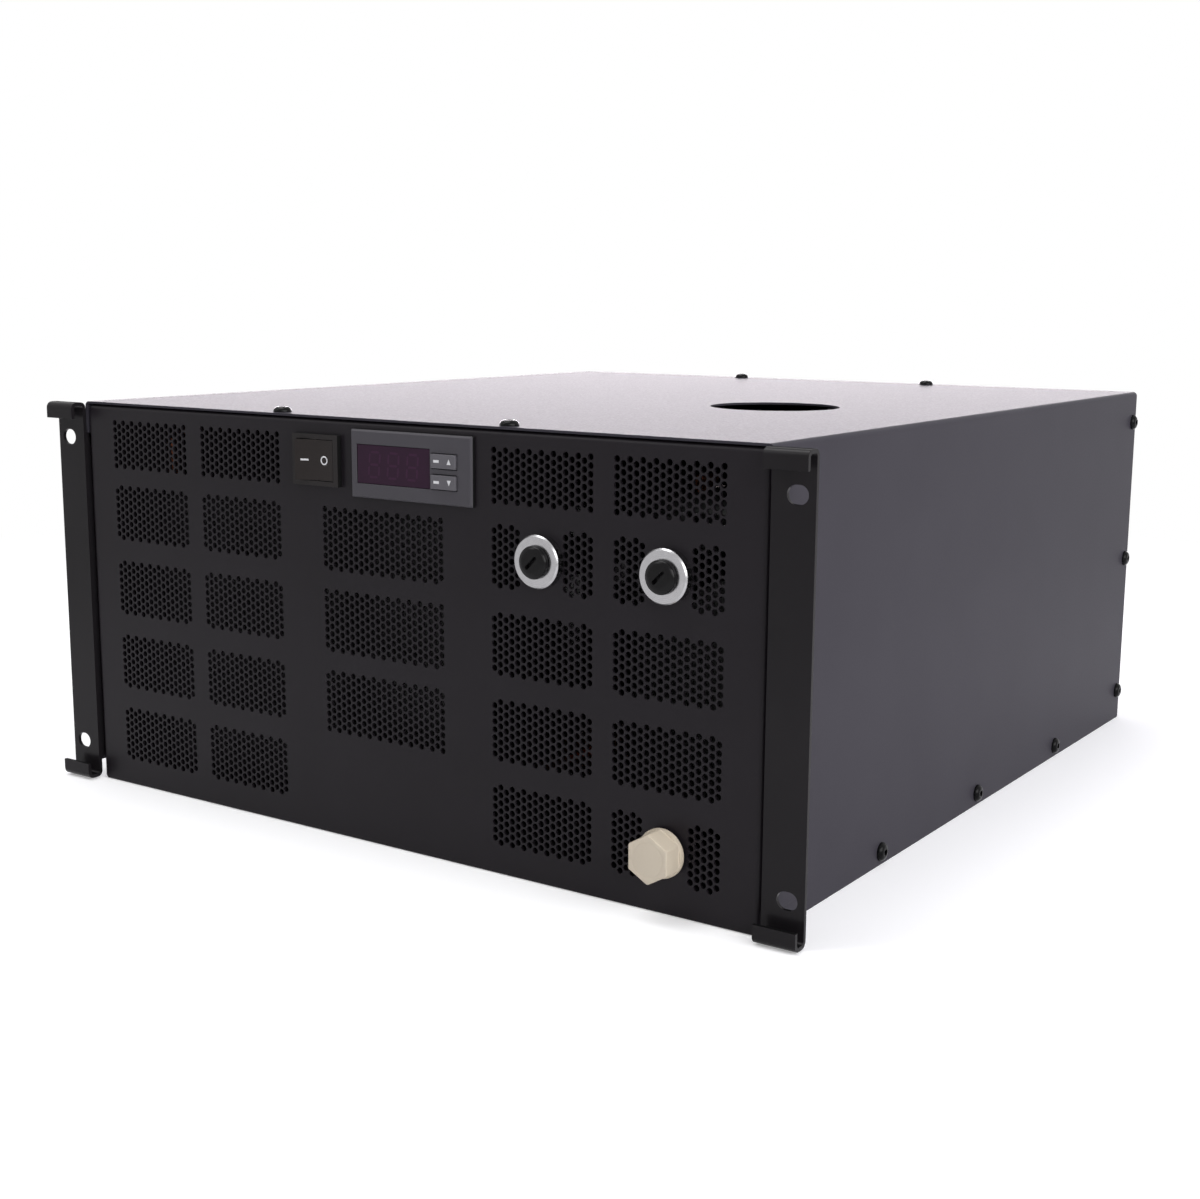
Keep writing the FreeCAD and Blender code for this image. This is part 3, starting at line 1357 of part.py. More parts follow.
def make_lines():
    x, y = dim.compressor_x, dim.compressor_y
    header_x = dim.core_left - dim.header_width / 2
    header_y = dim.header_front + dim.header_depth / 2
    up = dim.discharge_height
    keep(pipe("discharge", dim.discharge_radius, [
        (x, y, COMPRESSOR_TOP), (x, y, up), (header_x, y, up), (header_x, header_y, up),
        (header_x, header_y, CORE_TOP),
    ]), "discharge_line")
    high = dim.exchanger_high_port
    suction = pipe("suction", dim.suction_radius,
                   [(dim.line_x, EXCHANGER_STUB, high), (dim.line_x, y, high),
                    (dim.line_x, y, dim.accumulator_high)])
    drop = pipe("suction_drop", dim.suction_radius,
                [(dim.line_x, y, dim.accumulator_low), (dim.line_x, y, dim.elbow_height),
                 (x + around(dim.compressor_radius, CAP_SIDES), y, dim.elbow_height)])
    keep(group("suction_pair", [suction, drop]), "suction_line")

    low = dim.exchanger_low_port
    drier_end = DRIER_START + dim.drier_length
    valve_end = dim.valve_start + dim.valve_length
    runs = ((dim.header_front + dim.header_depth, DRIER_START), (drier_end, dim.valve_start),
            (valve_end, EXCHANGER_STUB))
    liquid = [post("liquid_run%d" % i, "Y", dim.liquid_radius, span, dim.line_x, low)
              for i, span in enumerate(runs)]
    keep(group("liquid_runs", liquid), "liquid_line")
    keep(post("drier", "Y", dim.drier_radius, (DRIER_START, drier_end), dim.line_x, low), "filter_drier")
    valve_top = low + dim.valve_size / 2
    body = box("valve_body", about(dim.line_x, dim.valve_size), (dim.valve_start, valve_end),
               about(low, dim.valve_size))
    dome = post("valve_dome", "Z", dim.valve_dome_radius, (valve_top, valve_top + dim.valve_dome_height),
                dim.line_x, dim.valve_start + dim.valve_length / 2)
    keep(fuse("valve", [body, dome]), "expansion_valve")


def make_condenser():
    across = (dim.core_left, dim.core_right)
    step = (CORE_TOP - CORE_BOTTOM) / TUBES
    fin_height = step - dim.tube_thickness
    tubes = []
    fins = []
    inset = (dim.core_depth - dim.tube_depth) / 2
    for i in range(TUBES):
        middle = CORE_BOTTOM + step * (i + 0.5)
        tubes.append(box("flat_tube%d" % i, across, (dim.core_front + inset, CORE_BACK - inset),
                         about(middle, dim.tube_thickness)))
        if i:
            fins.append(box("fin_pack%d" % i, across, (dim.core_front, CORE_BACK),
                            about(middle - step / 2, fin_height)))
    keep(group("tube_bank", tubes), "condenser_tubes")
    keep(group("fin_bank", fins), "condenser_fins")

    headers = []
    deep = (dim.header_front, dim.header_front + dim.header_depth)
    for name, low in (("left", dim.core_left - dim.header_width), ("right", dim.core_right)):
        body = new_body("header_" + name)
        plan = sketch_on(body, "XY_Plane", "header_plan_" + name, FLOOR)
        rectangle(plan, (low, low + dim.header_width), deep)
        tank = pad(body, plan, CORE_TOP - FLOOR)
        outer_x = low if name == "left" else low + dim.header_width
        outside = edges_at(tank, x=outer_x, y=deep[0]) + edges_at(tank, x=outer_x, y=deep[1])
        soften(body, "Chamfer", "Size", tank, dim.header_chamfer, outside)
        headers.append(body)
    keep(group("header_pair", headers), "condenser_headers")


def make_fan():
    x, z = dim.fan_x, FAN_Z
    gap, sheet = dim.fit_gap, dim.shroud_sheet
    wide = (dim.core_left + gap, dim.core_right - gap)
    tall = (CORE_BOTTOM, CORE_TOP)
    hood = box("shroud_hood", wide, (CORE_BACK, SHROUD_BACK), tall)
    hollow = box("shroud_hollow", (wide[0] + sheet, wide[1] - sheet),
                 (CORE_BACK - OVERCUT, SHROUD_BACK - sheet), (tall[0] + sheet, tall[1] - sheet))
    mouth = box("shroud_mouth", about(x, 2 * FAN_BORE), (CORE_BACK, SHROUD_BACK + OVERCUT),
                about(z, 2 * FAN_BORE))
    keep(cut("shroud", hood, [hollow, mouth]), "fan_shroud")

    body = new_body("fan_ring")
    face = sketch_on(body, "XZ_Plane", "fan_face", -SHROUD_BACK)
    rectangle(face, about(x, dim.fan_size), about(z, dim.fan_size))
    facet_circle(face, x, z, FAN_BORE, CAP_SIDES)
    pad(body, face, dim.fan_depth, backwards=True)
    reach = (dim.fan_size + 2 * FAN_BORE) / 2
    deep = (STRUT_FRONT, FAN_BACK)
    parts = [
        body,
        box("strut_across", about(x, reach), deep, about(z, dim.strut_width)),
        box("strut_up", about(x, dim.strut_width), deep, about(z, reach)),
        post("fan_motor_plate", "Y", dim.motor_plate_radius, deep, x, z),
        rod("fan_spindle", "Y", dim.spindle_radius, (STRUT_FRONT - dim.spindle_length, STRUT_FRONT + OVERCUT),
            x, z),
    ]
    keep(fuse("fan_casting", parts), "fan_frame")

    rotor = new_body("rotor")
    half = dim.rotor_length / 2
    hub = sketch_on(rotor, "XZ_Plane", "rotor_hub", half)
    facet_circle(hub, 0, 0, dim.rotor_hub, CAP_SIDES)
    pad(rotor, hub, dim.rotor_length, backwards=True)
    bore = sketch_on(rotor, "XZ_Plane", "rotor_bore", -half)
    circle(bore, 0, 0, dim.spindle_radius + dim.running_gap)
    hole = rotor.newObject("PartDesign::Pocket", "rotor_hole")
    hole.Profile = bore
    bind(hole, "Length", dim.spindle_length)
    hole.Reversed = True
    blade = pad(rotor, blade_section(rotor), ROTOR_TIP - dim.rotor_root)
    repeat_round(rotor, blade, "Y_Axis", BLADES)
    place(rotor, x, ROTOR_MIDDLE, z)
    keep(rotor, "fan_rotor")


def blade_section(body):
    """The cambered section of a blade at its root, with its chord turned to the pitch."""
    sketch = sketch_on(body, "XY_Plane", "blade_section", dim.rotor_root)
    thick = dim.blade_thickness / 2
    half = dim.blade_chord / 2
    along_cos, along_sin = cosine(dim.blade_pitch), sine(dim.blade_pitch)
    outline = [(-half, -thick), (as_size(0), dim.blade_camber - thick), (half, -thick),
               (half, thick), (as_size(0), dim.blade_camber + thick), (-half, thick)]
    polygon(sketch, [(a * along_cos - b * along_sin, a * along_sin + b * along_cos) for a, b in outline])
    return sketch


def make_electrics():
    wide = (dim.box_left, dim.box_right)
    deep = (dim.box_front, dim.box_back)
    sheet = dim.box_sheet
    tub = box("box_tub", wide, deep, (FLOOR, dim.box_top))
    hollow = box("box_hollow", (wide[0] + sheet, wide[1] - sheet), (deep[0] + sheet, deep[1] - sheet),
                 (FLOOR + sheet, dim.box_top + OVERCUT))
    keep(cut("box_pan", tub, [hollow]), "control_box")
    keep(box("box_lid", wide, deep, (dim.box_top, dim.box_top + sheet)), "control_box_lid")

    board_wide = (wide[0] + dim.box_margin, wide[1] - dim.box_margin)
    board_deep = (deep[0] + dim.box_margin, deep[1] - dim.box_margin)
    low = FLOOR + sheet
    board_low = low + dim.standoff_height
    board_top = board_low + dim.board_sheet
    relay_x = (board_wide[0] + board_wide[1]) / 2
    parts = [
        box("power_card", board_wide, board_deep, (board_low, board_top)),
        box("relay", about(relay_x, dim.relay_width), about((deep[0] + deep[1]) / 2, dim.relay_width),
            (board_top, board_top + dim.relay_height)),
    ]
    for i, corner_x in enumerate((board_wide[0] + dim.box_margin, board_wide[1] - dim.box_margin)):
        for j, corner_y in enumerate((board_deep[0] + dim.box_margin, board_deep[1] - dim.box_margin)):
            parts.append(post("standoff%d%d" % (i, j), "Z", dim.standoff_radius, (low, board_low), corner_x,
                              corner_y, HEX))
    keep(fuse("power_electronics", parts), "control_board")

    x, z = dim.mains_x, dim.mains_z
    outside = dim.case_depth + dim.mains_flange
    flange = box("mains_flange", about(x, dim.mains_flange_width), (dim.case_depth, outside),
                 about(z, dim.mains_flange_height))
    case = box("mains_case", about(x, dim.mains_body_width), (dim.case_depth - dim.mains_depth, outside),
               about(z, dim.mains_body_height))
    socket_back = dim.case_depth - dim.mains_depth + dim.mains_wall
    mouth = box("mains_mouth", about(x, dim.mains_body_width - 2 * dim.mains_wall),
                (socket_back, outside + OVERCUT), about(z, dim.mains_body_height - 2 * dim.mains_wall))
    keep(cut("mains", fuse("mains_moulding", [flange, case]), [mouth]), "mains_inlet")
    pins = []
    for i in (-1, 0, 1):
        rise = z if i else z + dim.pin_earth_rise
        pins.append(box("inlet_pin%d" % (i + 1), about(x + i * dim.pin_step, dim.pin_width),
                        (socket_back, outside - dim.pin_recess), about(rise, dim.pin_height)))
    keep(group("inlet_pin_set", pins), "inlet_pins")


def build():
    make_cover()
    make_tray()
    make_front_panel()
    make_rear_panel()
    make_ear("rack_ear_left", -1)
    make_ear("rack_ear_right", 1)
    make_screws()
    make_switch()
    make_controller()
    make_ports()
    make_nuts()
    make_tank()
    make_pump()
    make_hoses()
    make_fittings()
    make_exchanger()
    make_compressor()
    make_lines()
    make_condenser()
    make_fan()
    make_electrics()
    doc.recompute()


def check_and_export():
    failed = [thing.Label for thing in doc.Objects if "Invalid" in thing.State or "Error" in thing.State]
    failed += [node.Label for node in nodes if node.Shape.isNull() or not node.Shape.isValid()]
    if failed:
        raise RuntimeError("failed objects: " + ", ".join(failed))
    os.makedirs("parts", exist_ok=True)
    for node in nodes:
        node.Shape.exportStep("parts/" + node.Label + ".step")
    print(len(nodes), "nodes written")


build()
check_and_export()
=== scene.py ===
import bmesh
import bpy
import json
import math
import numpy as np
from mathutils import Matrix, Vector
from mathutils.geometry import delaunay_2d_cdt

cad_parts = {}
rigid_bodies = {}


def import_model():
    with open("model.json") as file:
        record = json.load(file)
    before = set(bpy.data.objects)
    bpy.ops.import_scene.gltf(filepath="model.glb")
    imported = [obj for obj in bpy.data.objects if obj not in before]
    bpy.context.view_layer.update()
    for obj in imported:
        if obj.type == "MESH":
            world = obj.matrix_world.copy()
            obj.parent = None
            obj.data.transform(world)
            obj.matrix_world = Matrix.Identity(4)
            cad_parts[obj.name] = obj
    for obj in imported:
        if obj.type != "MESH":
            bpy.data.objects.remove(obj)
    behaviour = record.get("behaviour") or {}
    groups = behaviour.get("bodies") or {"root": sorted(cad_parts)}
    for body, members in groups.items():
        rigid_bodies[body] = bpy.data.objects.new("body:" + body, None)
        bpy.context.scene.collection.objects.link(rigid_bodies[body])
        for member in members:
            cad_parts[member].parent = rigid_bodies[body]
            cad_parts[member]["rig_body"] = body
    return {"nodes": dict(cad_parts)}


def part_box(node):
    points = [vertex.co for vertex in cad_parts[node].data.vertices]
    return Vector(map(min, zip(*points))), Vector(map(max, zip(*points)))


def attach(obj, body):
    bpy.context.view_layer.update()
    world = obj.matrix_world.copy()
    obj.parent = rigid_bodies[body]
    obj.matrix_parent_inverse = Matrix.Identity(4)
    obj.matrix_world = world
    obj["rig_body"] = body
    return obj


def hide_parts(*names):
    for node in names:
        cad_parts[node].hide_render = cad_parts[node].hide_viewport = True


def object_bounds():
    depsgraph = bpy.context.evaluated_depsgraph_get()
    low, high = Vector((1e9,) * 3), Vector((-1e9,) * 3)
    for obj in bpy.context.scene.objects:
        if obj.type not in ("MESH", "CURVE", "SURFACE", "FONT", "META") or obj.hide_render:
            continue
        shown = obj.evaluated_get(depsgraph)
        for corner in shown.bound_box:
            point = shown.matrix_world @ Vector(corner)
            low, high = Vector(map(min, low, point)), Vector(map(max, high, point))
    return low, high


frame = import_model()
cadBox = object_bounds()
nodes = frame["nodes"]
mm = 0.001
# a tolerance for lengths in metres and for directions
tiny = 1e-6
print("frame loaded:", len(nodes), "nodes")


def linear(hexColour):
    # sRGB hex to linear light, with full alpha
    channel = np.array([int(hexColour[i:i + 2], 16) for i in (1, 3, 5)]) / 255
    value = np.where(channel <= 0.04045, channel / 12.92, ((channel + 0.055) / 1.055) ** 2.4)
    return (*value.tolist(), 1.0)


def addNode(tree, kind, inputs=None, **settings):
    # a node with its settings, and its inputs set or linked
    node = tree.nodes.new(kind)
    for name, value in settings.items():
        setattr(node, name, value)
    for socket, value in (inputs or {}).items():
        if isinstance(value, bpy.types.NodeSocket):
            tree.links.new(value, node.inputs[socket])
        else:
            node.inputs[socket].default_value = value
    return node


# Finishes: two shades that a slow noise drifts between, a grain in the surface, and how rough it is.
# grainMm is the size of one grain; sizes under about 1 mm are drawn that coarse, so that they show.
finishes = {
    # polyester powder coat on sheet steel: satin black, faint orange peel
    "powderCoat": {"dark": "#1a171a", "light": "#1f1c20", "grainMm": 1.1, "bumpMm": 0.008,
                   "rough": (0.30, 0.37), "ior": 1.21},
    # the same coat on the cover, painted a shade lighter and bluer: painted light for the brightness of its
    # lit sides
    "paintedLitCoat": {"dark": "#343238", "light": "#39373d", "grainMm": 1.1, "bumpMm": 0.008,
                  "rough": (0.34, 0.42), "ior": 1.11},
    # dipped coat on the rack ears: smoother, so that bends catch a line of light
    "dippedCoat": {"dark": "#191719", "light": "#1e1c1e", "grainMm": 1.6, "bumpMm": 0.003,
                   "rough": (0.20, 0.26), "ior": 1.2},
    # black zinc on steel screws: near black, with a sharp glint
    "blackZinc": {"dark": "#070708", "light": "#0d0d0e", "grainMm": 1.0, "bumpMm": 0.004,
                  "rough": (0.12, 0.18), "ior": 1.2},
    # spark-eroded black ABS: dull, fine and even
    "sparkAbs": {"dark": "#1b1818", "light": "#211e1e", "grainMm": 0.9, "bumpMm": 0.015,
                 "rough": (0.38, 0.48), "ior": 1.25},
    # polished black nylon of the rocker
    "glossNylon": {"dark": "#1f1b1a", "light": "#262120", "grainMm": 2.5, "bumpMm": 0.004,
                   "rough": (0.20, 0.26), "ior": 1.25},
    # grey ABS of the controller's front, with a fine eroded skin
    "greyAbs": {"dark": "#38363b", "light": "#3f3d42", "grainMm": 0.9, "bumpMm": 0.015,
                "rough": (0.42, 0.5), "ior": 1.33},
    # smoked violet acrylic over the unlit display
    "smokedAcrylic": {"dark": "#281526", "light": "#2e192b", "grainMm": 6.0, "bumpMm": 0.001,
                      "rough": (0.10, 0.14), "ior": 1.2},
    # the unlit segments, a shade lighter than the window
    "segmentAcrylic": {"dark": "#331b30", "light": "#371d33", "grainMm": 4.0, "bumpMm": 0.001,
                       "rough": (0.14, 0.18), "ior": 1.2},
    # mid-grey ABS of the keys
    "keyAbs": {"dark": "#4d4b50", "light": "#565459", "grainMm": 0.9, "bumpMm": 0.01,
               "rough": (0.38, 0.45), "ior": 1.4},
    # white pad print
    "padPrint": {"dark": "#c6c6c8", "light": "#d2d2d4", "grainMm": 1.2, "bumpMm": 0.002,
                 "rough": (0.45, 0.55), "ior": 1.5},
    # black moulded plugs, polished
    "plugNylon": {"dark": "#0c0b0c", "light": "#111011", "grainMm": 2.0, "bumpMm": 0.004,
                  "rough": (0.14, 0.2), "ior": 1.23},
    # ivory nylon of the service plug, satin and faintly mottled
    "ivoryNylon": {"dark": "#bbaf9c", "light": "#c7bcaa", "grainMm": 1.4, "bumpMm": 0.008,
                   "rough": (0.36, 0.44), "ior": 1.53},
    # rubber seals, grommets and hoses: dull black
    "sealRubber": {"dark": "#0a0a0a", "light": "#101010", "grainMm": 1.0, "bumpMm": 0.01,
                   "rough": (0.6, 0.75), "ior": 1.25},
    # black polyethylene of the tank: waxy, faintly mottled
    "tankPoly": {"dark": "#0e0e0f", "light": "#151516", "grainMm": 3.0, "bumpMm": 0.02,
                 "rough": (0.42, 0.52), "ior": 1.51},
    # ribbed black cap
    "capPoly": {"dark": "#0e0e0f", "light": "#141415", "grainMm": 1.2, "bumpMm": 0.01,
                "rough": (0.6, 0.7), "ior": 1.2},
    # nickel plate on turned brass
    "platedBrass": {"dark": "#a8a294", "light": "#bdb7a8", "grainMm": 1.5, "bumpMm": 0.006,
                    "rough": (0.22, 0.32), "metal": 1.0},
    # drawn copper tube, dulled by handling
    "drawnCopper": {"dark": "#7c4833", "light": "#95604a", "grainMm": 4.0, "bumpMm": 0.006,
                    "rough": (0.28, 0.42), "metal": 1.0},
    # passivated zinc on sheet steel: dull mid-grey
    "zincSteel": {"dark": "#6a6b6e", "light": "#7d7e81", "grainMm": 5.0, "bumpMm": 0.006,
                  "rough": (0.4, 0.52), "metal": 1.0},
    # near black and matt, with a coarse bump and no sheen at any angle: painted shade on the control box's
    # lid and the tops of the ears' hooks
    "paintedShadeMatt": {"dark": "#0b0b0b", "light": "#111112", "grainMm": 1.0, "bumpMm": 0.05,
                     "rough": (0.8, 0.95), "ior": 1.08},
    # brazed stainless plates
    "brazedStainless": {"dark": "#a3a2a0", "light": "#b9b8b5", "grainMm": 3.0, "bumpMm": 0.006,
                        "rough": (0.28, 0.38), "metal": 1.0},
    # black enamel on the compressor and the accumulator
    "potEnamel": {"dark": "#0e0e10", "light": "#141416", "grainMm": 3.0, "bumpMm": 0.015,
                  "rough": (0.22, 0.32), "ior": 1.52},
    # black-dipped condenser core
    "dippedFins": {"dark": "#070707", "light": "#0c0c0d", "grainMm": 1.4, "bumpMm": 0.05,
                   "rough": (0.55, 0.7), "ior": 1.5},
    # solder-masked circuit board
    "circuitBoard": {"dark": "#123f22", "light": "#195230", "grainMm": 2.2, "bumpMm": 0.02,
                     "rough": (0.34, 0.44), "ior": 1.52},
}


# The noises in every finish: one slow, one fine, and the part of the range that the roughness follows
slowNoise = {"sizeMm": 45.0, "detail": 3.0}
fineNoise = {"detail": 2.0, "roughness": 0.6}
roughSpan = {"low": 0.3, "high": 0.7}


def newMaterial(name):
    material = bpy.data.materials.new(name)
    material.use_nodes = True
    material.node_tree.nodes.clear()
    return material, material.node_tree


def addSurface(tree, s, shadeBy, roughBy, height, strength=1.0):
    # shade and roughness mixed by two values, and a bump from a third
    shade = addNode(tree, "ShaderNodeMix", {"Factor": shadeBy, "A": linear(s["dark"]),
                                            "B": linear(s["light"])}, data_type="RGBA")
    rough = addNode(tree, "ShaderNodeMapRange", {
        "Value": roughBy, "From Min": roughSpan["low"], "From Max": roughSpan["high"],
        "To Min": s["rough"][0], "To Max": s["rough"][1]})
    bump = addNode(tree, "ShaderNodeBump", {"Height": height, "Strength": strength,
                                            "Distance": s["bumpMm"] * mm})
    shader = addNode(tree, "ShaderNodeBsdfPrincipled", {
        "Base Color": shade.outputs[2], "Roughness": rough.outputs["Result"],
        "Normal": bump.outputs["Normal"], "Metallic": s.get("metal", 0.0), "IOR": s.get("ior", 1.5)})
    addNode(tree, "ShaderNodeOutputMaterial", {"Surface": shader.outputs["BSDF"]})


def makeFinish(name, s):
    # shade from a slow noise, grain from a fine one, both in object space so that nothing slides
    material, tree = newMaterial(name)
    place = addNode(tree, "ShaderNodeTexCoord").outputs["Object"]
    drift = addNode(tree, "ShaderNodeTexNoise", {
        "Vector": place, "Scale": 1 / (slowNoise["sizeMm"] * mm), "Detail": slowNoise["detail"]})
    grain = addNode(tree, "ShaderNodeTexNoise", {
        "Vector": place, "Scale": 1 / (s["grainMm"] * mm), "Detail": fineNoise["detail"],
        "Roughness": fineNoise["roughness"]})
    addSurface(tree, s, drift.outputs["Fac"], grain.outputs["Fac"], grain.outputs["Fac"])
    return material


finish = {name: makeFinish(name, settings) for name, settings in finishes.items()}

# Satin nickel on the turned port collars: rings left by the lathe, centred on each port
nickelRings = {"dark": "#a2a1a3", "light": "#acabad", "metal": 1.0, "rough": (0.2, 0.25), "bumpMm": 0.003,
               "ringMm": 0.8, "ringStrength": 0.6, "cloudMm": 2.0, "cloudDetail": 3.0,
               "centresMm": ((98.6, 48.2), (168.2, 48.2))}


def makeNickel(s):
    # ring height is the sine of the distance from the nearer port's axis
    material, tree = newMaterial("satinNickel")
    place = addNode(tree, "ShaderNodeTexCoord").outputs["Object"]
    flat = addNode(tree, "ShaderNodeVectorMath", {0: place, 1: (1.0, 0.0, 1.0)}, operation="MULTIPLY")
    reach = [addNode(tree, "ShaderNodeVectorMath", {0: flat.outputs["Vector"], 1: (x * mm, 0.0, z * mm)},
                     operation="DISTANCE").outputs["Value"] for x, z in s["centresMm"]]
    nearest = addNode(tree, "ShaderNodeMath", {0: reach[0], 1: reach[1]}, operation="MINIMUM")
    turns = 2 * math.pi / (s["ringMm"] * mm)
    phase = addNode(tree, "ShaderNodeMath", {0: nearest.outputs["Value"], 1: turns}, operation="MULTIPLY")
    ring = addNode(tree, "ShaderNodeMath", {0: phase.outputs["Value"]}, operation="SINE")
    cloud = addNode(tree, "ShaderNodeTexNoise", {
        "Vector": place, "Scale": 1 / (s["cloudMm"] * mm), "Detail": s["cloudDetail"]})
    mottle = cloud.outputs["Fac"]
    addSurface(tree, s, mottle, mottle, ring.outputs["Value"], s["ringStrength"])
    return material


finish["satinNickel"] = makeNickel(nickelRings)
print("finishes made:", len(finish))


def smoothPiece(name, mesh, material, body, node=None, angle=30):
    # smooth shading that breaks at sharp edges, with flat faces kept flat
    mesh.materials.clear()
    mesh.materials.append(finish[material])
    mesh.shade_smooth()
    mesh.set_sharp_from_angle(angle=math.radians(angle))
    piece = bpy.data.objects.new(name, mesh)
    bpy.context.scene.collection.objects.link(piece)
    level = piece.modifiers.new("evenNormals", "WEIGHTED_NORMAL")
    level.keep_sharp = True
    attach(piece, body)
    if node:
        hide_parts(node)
    return piece


def meshFrom(name, points, faces, mergeMm=0.001):
    # points as one array, faces as lists of indices; doubles merged and faces turned outwards
    mesh = bpy.data.meshes.new(name)
    mesh.from_pydata(np.asarray(points).tolist(), [], [list(map(int, face)) for face in faces])
    shape = bmesh.new()
    shape.from_mesh(mesh)
    bmesh.ops.remove_doubles(shape, verts=shape.verts, dist=mergeMm * mm)
    bmesh.ops.recalc_face_normals(shape, faces=shape.faces)
    shape.to_mesh(mesh)
    shape.free()
    return mesh


def gridFaces(rows, columns, closed=False):
    # quads of a grid of rows x columns points; closed joins the last column to the first
    steps = columns if closed else columns - 1
    row, column = np.meshgrid(np.arange(rows - 1), np.arange(steps), indexing="ij")
    following = (column + 1) % columns
    corners = [row * columns + column, row * columns + following, (row + 1) * columns + following,
               (row + 1) * columns + column]
    return np.stack(corners, axis=-1).reshape(-1, 4)


# Refined nodes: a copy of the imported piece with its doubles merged, its flats joined and its edges eased
# Edges that lie against the sides of the case, seatMm from its middle, stay sharp: no gap opens there
refining = {"mergeMm": 0.002, "flatDegrees": 0.5, "sharpDegrees": 32.0, "seatMm": 220.0, "nearMm": 0.01,
            "segments": 2, "roundness": 0.5}


def refineNode(name, node, material, bevelMm):
    r = refining
    mesh = nodes[node].data.copy()
    mesh.name = name
    shape = bmesh.new()
    shape.from_mesh(mesh)
    bmesh.ops.remove_doubles(shape, verts=shape.verts, dist=r["mergeMm"] * mm)
    bmesh.ops.dissolve_limit(shape, angle_limit=math.radians(r["flatDegrees"]), verts=shape.verts,
                             edges=shape.edges)
    sharp = [edge for edge in shape.edges
             if len(edge.link_faces) == 2 and edge.calc_face_angle() > math.radians(r["sharpDegrees"])
             and not all(abs(abs(vert.co.x) - r["seatMm"] * mm) < r["nearMm"] * mm for vert in edge.verts)]
    bmesh.ops.bevel(shape, geom=sharp, offset=bevelMm * mm, segments=r["segments"], profile=r["roundness"],
                    affect="EDGES", clamp_overlap=True)
    shape.to_mesh(mesh)
    shape.free()
    return smoothPiece(name, mesh, material, nodes[node]["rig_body"], node)


refined = {
    "foldedCover": ("top_cover", "paintedLitCoat", 0.25),
    "rearPlate": ("rear_panel", "powderCoat", 0.25),
    "floorTray": ("bottom_tray", "powderCoat", 0.25),
    "hookedEarLeft": ("rack_ear_left", "dippedCoat", 0.35),
    "hookedEarRight": ("rack_ear_right", "dippedCoat", 0.35),
    "switchFrame": ("switch_housing", "sparkAbs", 0.4),
    "switchPaddle": ("switch_rocker", "glossNylon", 0.6),
    "controllerFront": ("controller_bezel", "greyAbs", 0.3),
    "controllerGlass": ("controller_window", "smokedAcrylic", 0.2),
    "upperKey": ("key_up", "keyAbs", 0.35),
    "lowerKey": ("key_down", "keyAbs", 0.35),
    "portCollars": ("coolant_ports", "satinNickel", 0.2),
    "rearFittings": ("coolant_fittings", "platedBrass", 0.3),
    "mainsSocket": ("mains_inlet", "sparkAbs", 0.5),
    "mainsPins": ("inlet_pins", "platedBrass", 0.3),
    "tankCap": ("tank_cap", "capPoly", 0.8),
}
for name, (node, material, bevelMm) in refined.items():
    refineNode(name, node, material, bevelMm)
print("refined nodes:", len(refined))

# A second finish on some faces. Behind the panel the port bodies are blackened, as painted shade, so that
# only the collars shine. The walls round the switch and the controller are dull black, as painted shade
# beside the controls. The ears' flanges take the cover's lighter coat, as painted light like the cover's
# lit sides. Each takes the faces whose middle lies behind a depth in mm and whose normal leans at least
# this much away from Y
secondFinish = {
    "portCollars": ("blackZinc", -0.1, 0.0),
    "switchFrame": ("sealRubber", -1.6, 0.9),
    "controllerFront": ("sealRubber", -1.8, 0.9),
    "hookedEarLeft": ("paintedLitCoat", 4.0, 0.9),
    "hookedEarRight": ("paintedLitCoat", 4.0, 0.9),
}
# The tops of the ears' hooks take a near-black matt finish, as painted shade, so that only their eased
# edges catch the light
hookTops = {"finish": "paintedShadeMatt", "up": 0.985, "beforeMm": 4.0}


def faceArrays(mesh):
    middles, normals = np.empty((2, 3 * len(mesh.polygons)))
    mesh.polygons.foreach_get("center", middles)
    mesh.polygons.foreach_get("normal", normals)
    return middles.reshape(-1, 3), normals.reshape(-1, 3)


def addFinish(mesh, material, taken):
    index = np.empty(len(mesh.polygons), np.int32)
    mesh.polygons.foreach_get("material_index", index)
    index[taken] = len(mesh.materials)
    mesh.materials.append(finish[material])
    mesh.polygons.foreach_set("material_index", index)


for name, (material, behindMm, across) in secondFinish.items():
    mesh = bpy.data.objects[name].data
    middles, normals = faceArrays(mesh)
    lean = math.sqrt(1 - across ** 2) + tiny
    addFinish(mesh, material, (middles[:, 1] > behindMm * mm) & (np.abs(normals[:, 1]) <= lean))
for name in ("hookedEarLeft", "hookedEarRight"):
    mesh = bpy.data.objects[name].data
    middles, normals = faceArrays(mesh)
    taken = (normals[:, 2] > hookTops["up"]) & (middles[:, 1] < hookTops["beforeMm"] * mm)
    addFinish(mesh, hookTops["finish"], taken)
print("second finishes:", len(secondFinish))

# The cover's side walls stop a little behind the panel's face, which leaves a dark gap beside each ear
coverGap = {"beyondMm": 218.6, "nearMm": 1.0, "backMm": 3.0, "topMm": (92.0, 90.5), "slackMm": 0.1}


def setBackCover(s):
    # the walls are cut across at two heights, and their front edge below the lower one moves back
    mesh = bpy.data.objects["foldedCover"].data
    shape = bmesh.new()
    shape.from_mesh(mesh)
    for high in s["topMm"]:
        bmesh.ops.bisect_plane(shape, geom=[*shape.verts, *shape.edges, *shape.faces], dist=tiny,
                               plane_co=(0, 0, high * mm), plane_no=(0, 0, 1))
    shape.to_mesh(mesh)
    shape.free()
    places = np.empty((len(mesh.vertices), 3))
    mesh.vertices.foreach_get("co", places.reshape(-1))
    edge = (np.abs(places[:, 0]) > s["beyondMm"] * mm) & (places[:, 1] < s["nearMm"] * mm)
    edge &= places[:, 2] < (s["topMm"][1] + s["slackMm"]) * mm
    places[edge, 1] += s["backMm"] * mm
    mesh.vertices.foreach_set("co", places.reshape(-1))
    mesh.update()


setBackCover(coverGap)

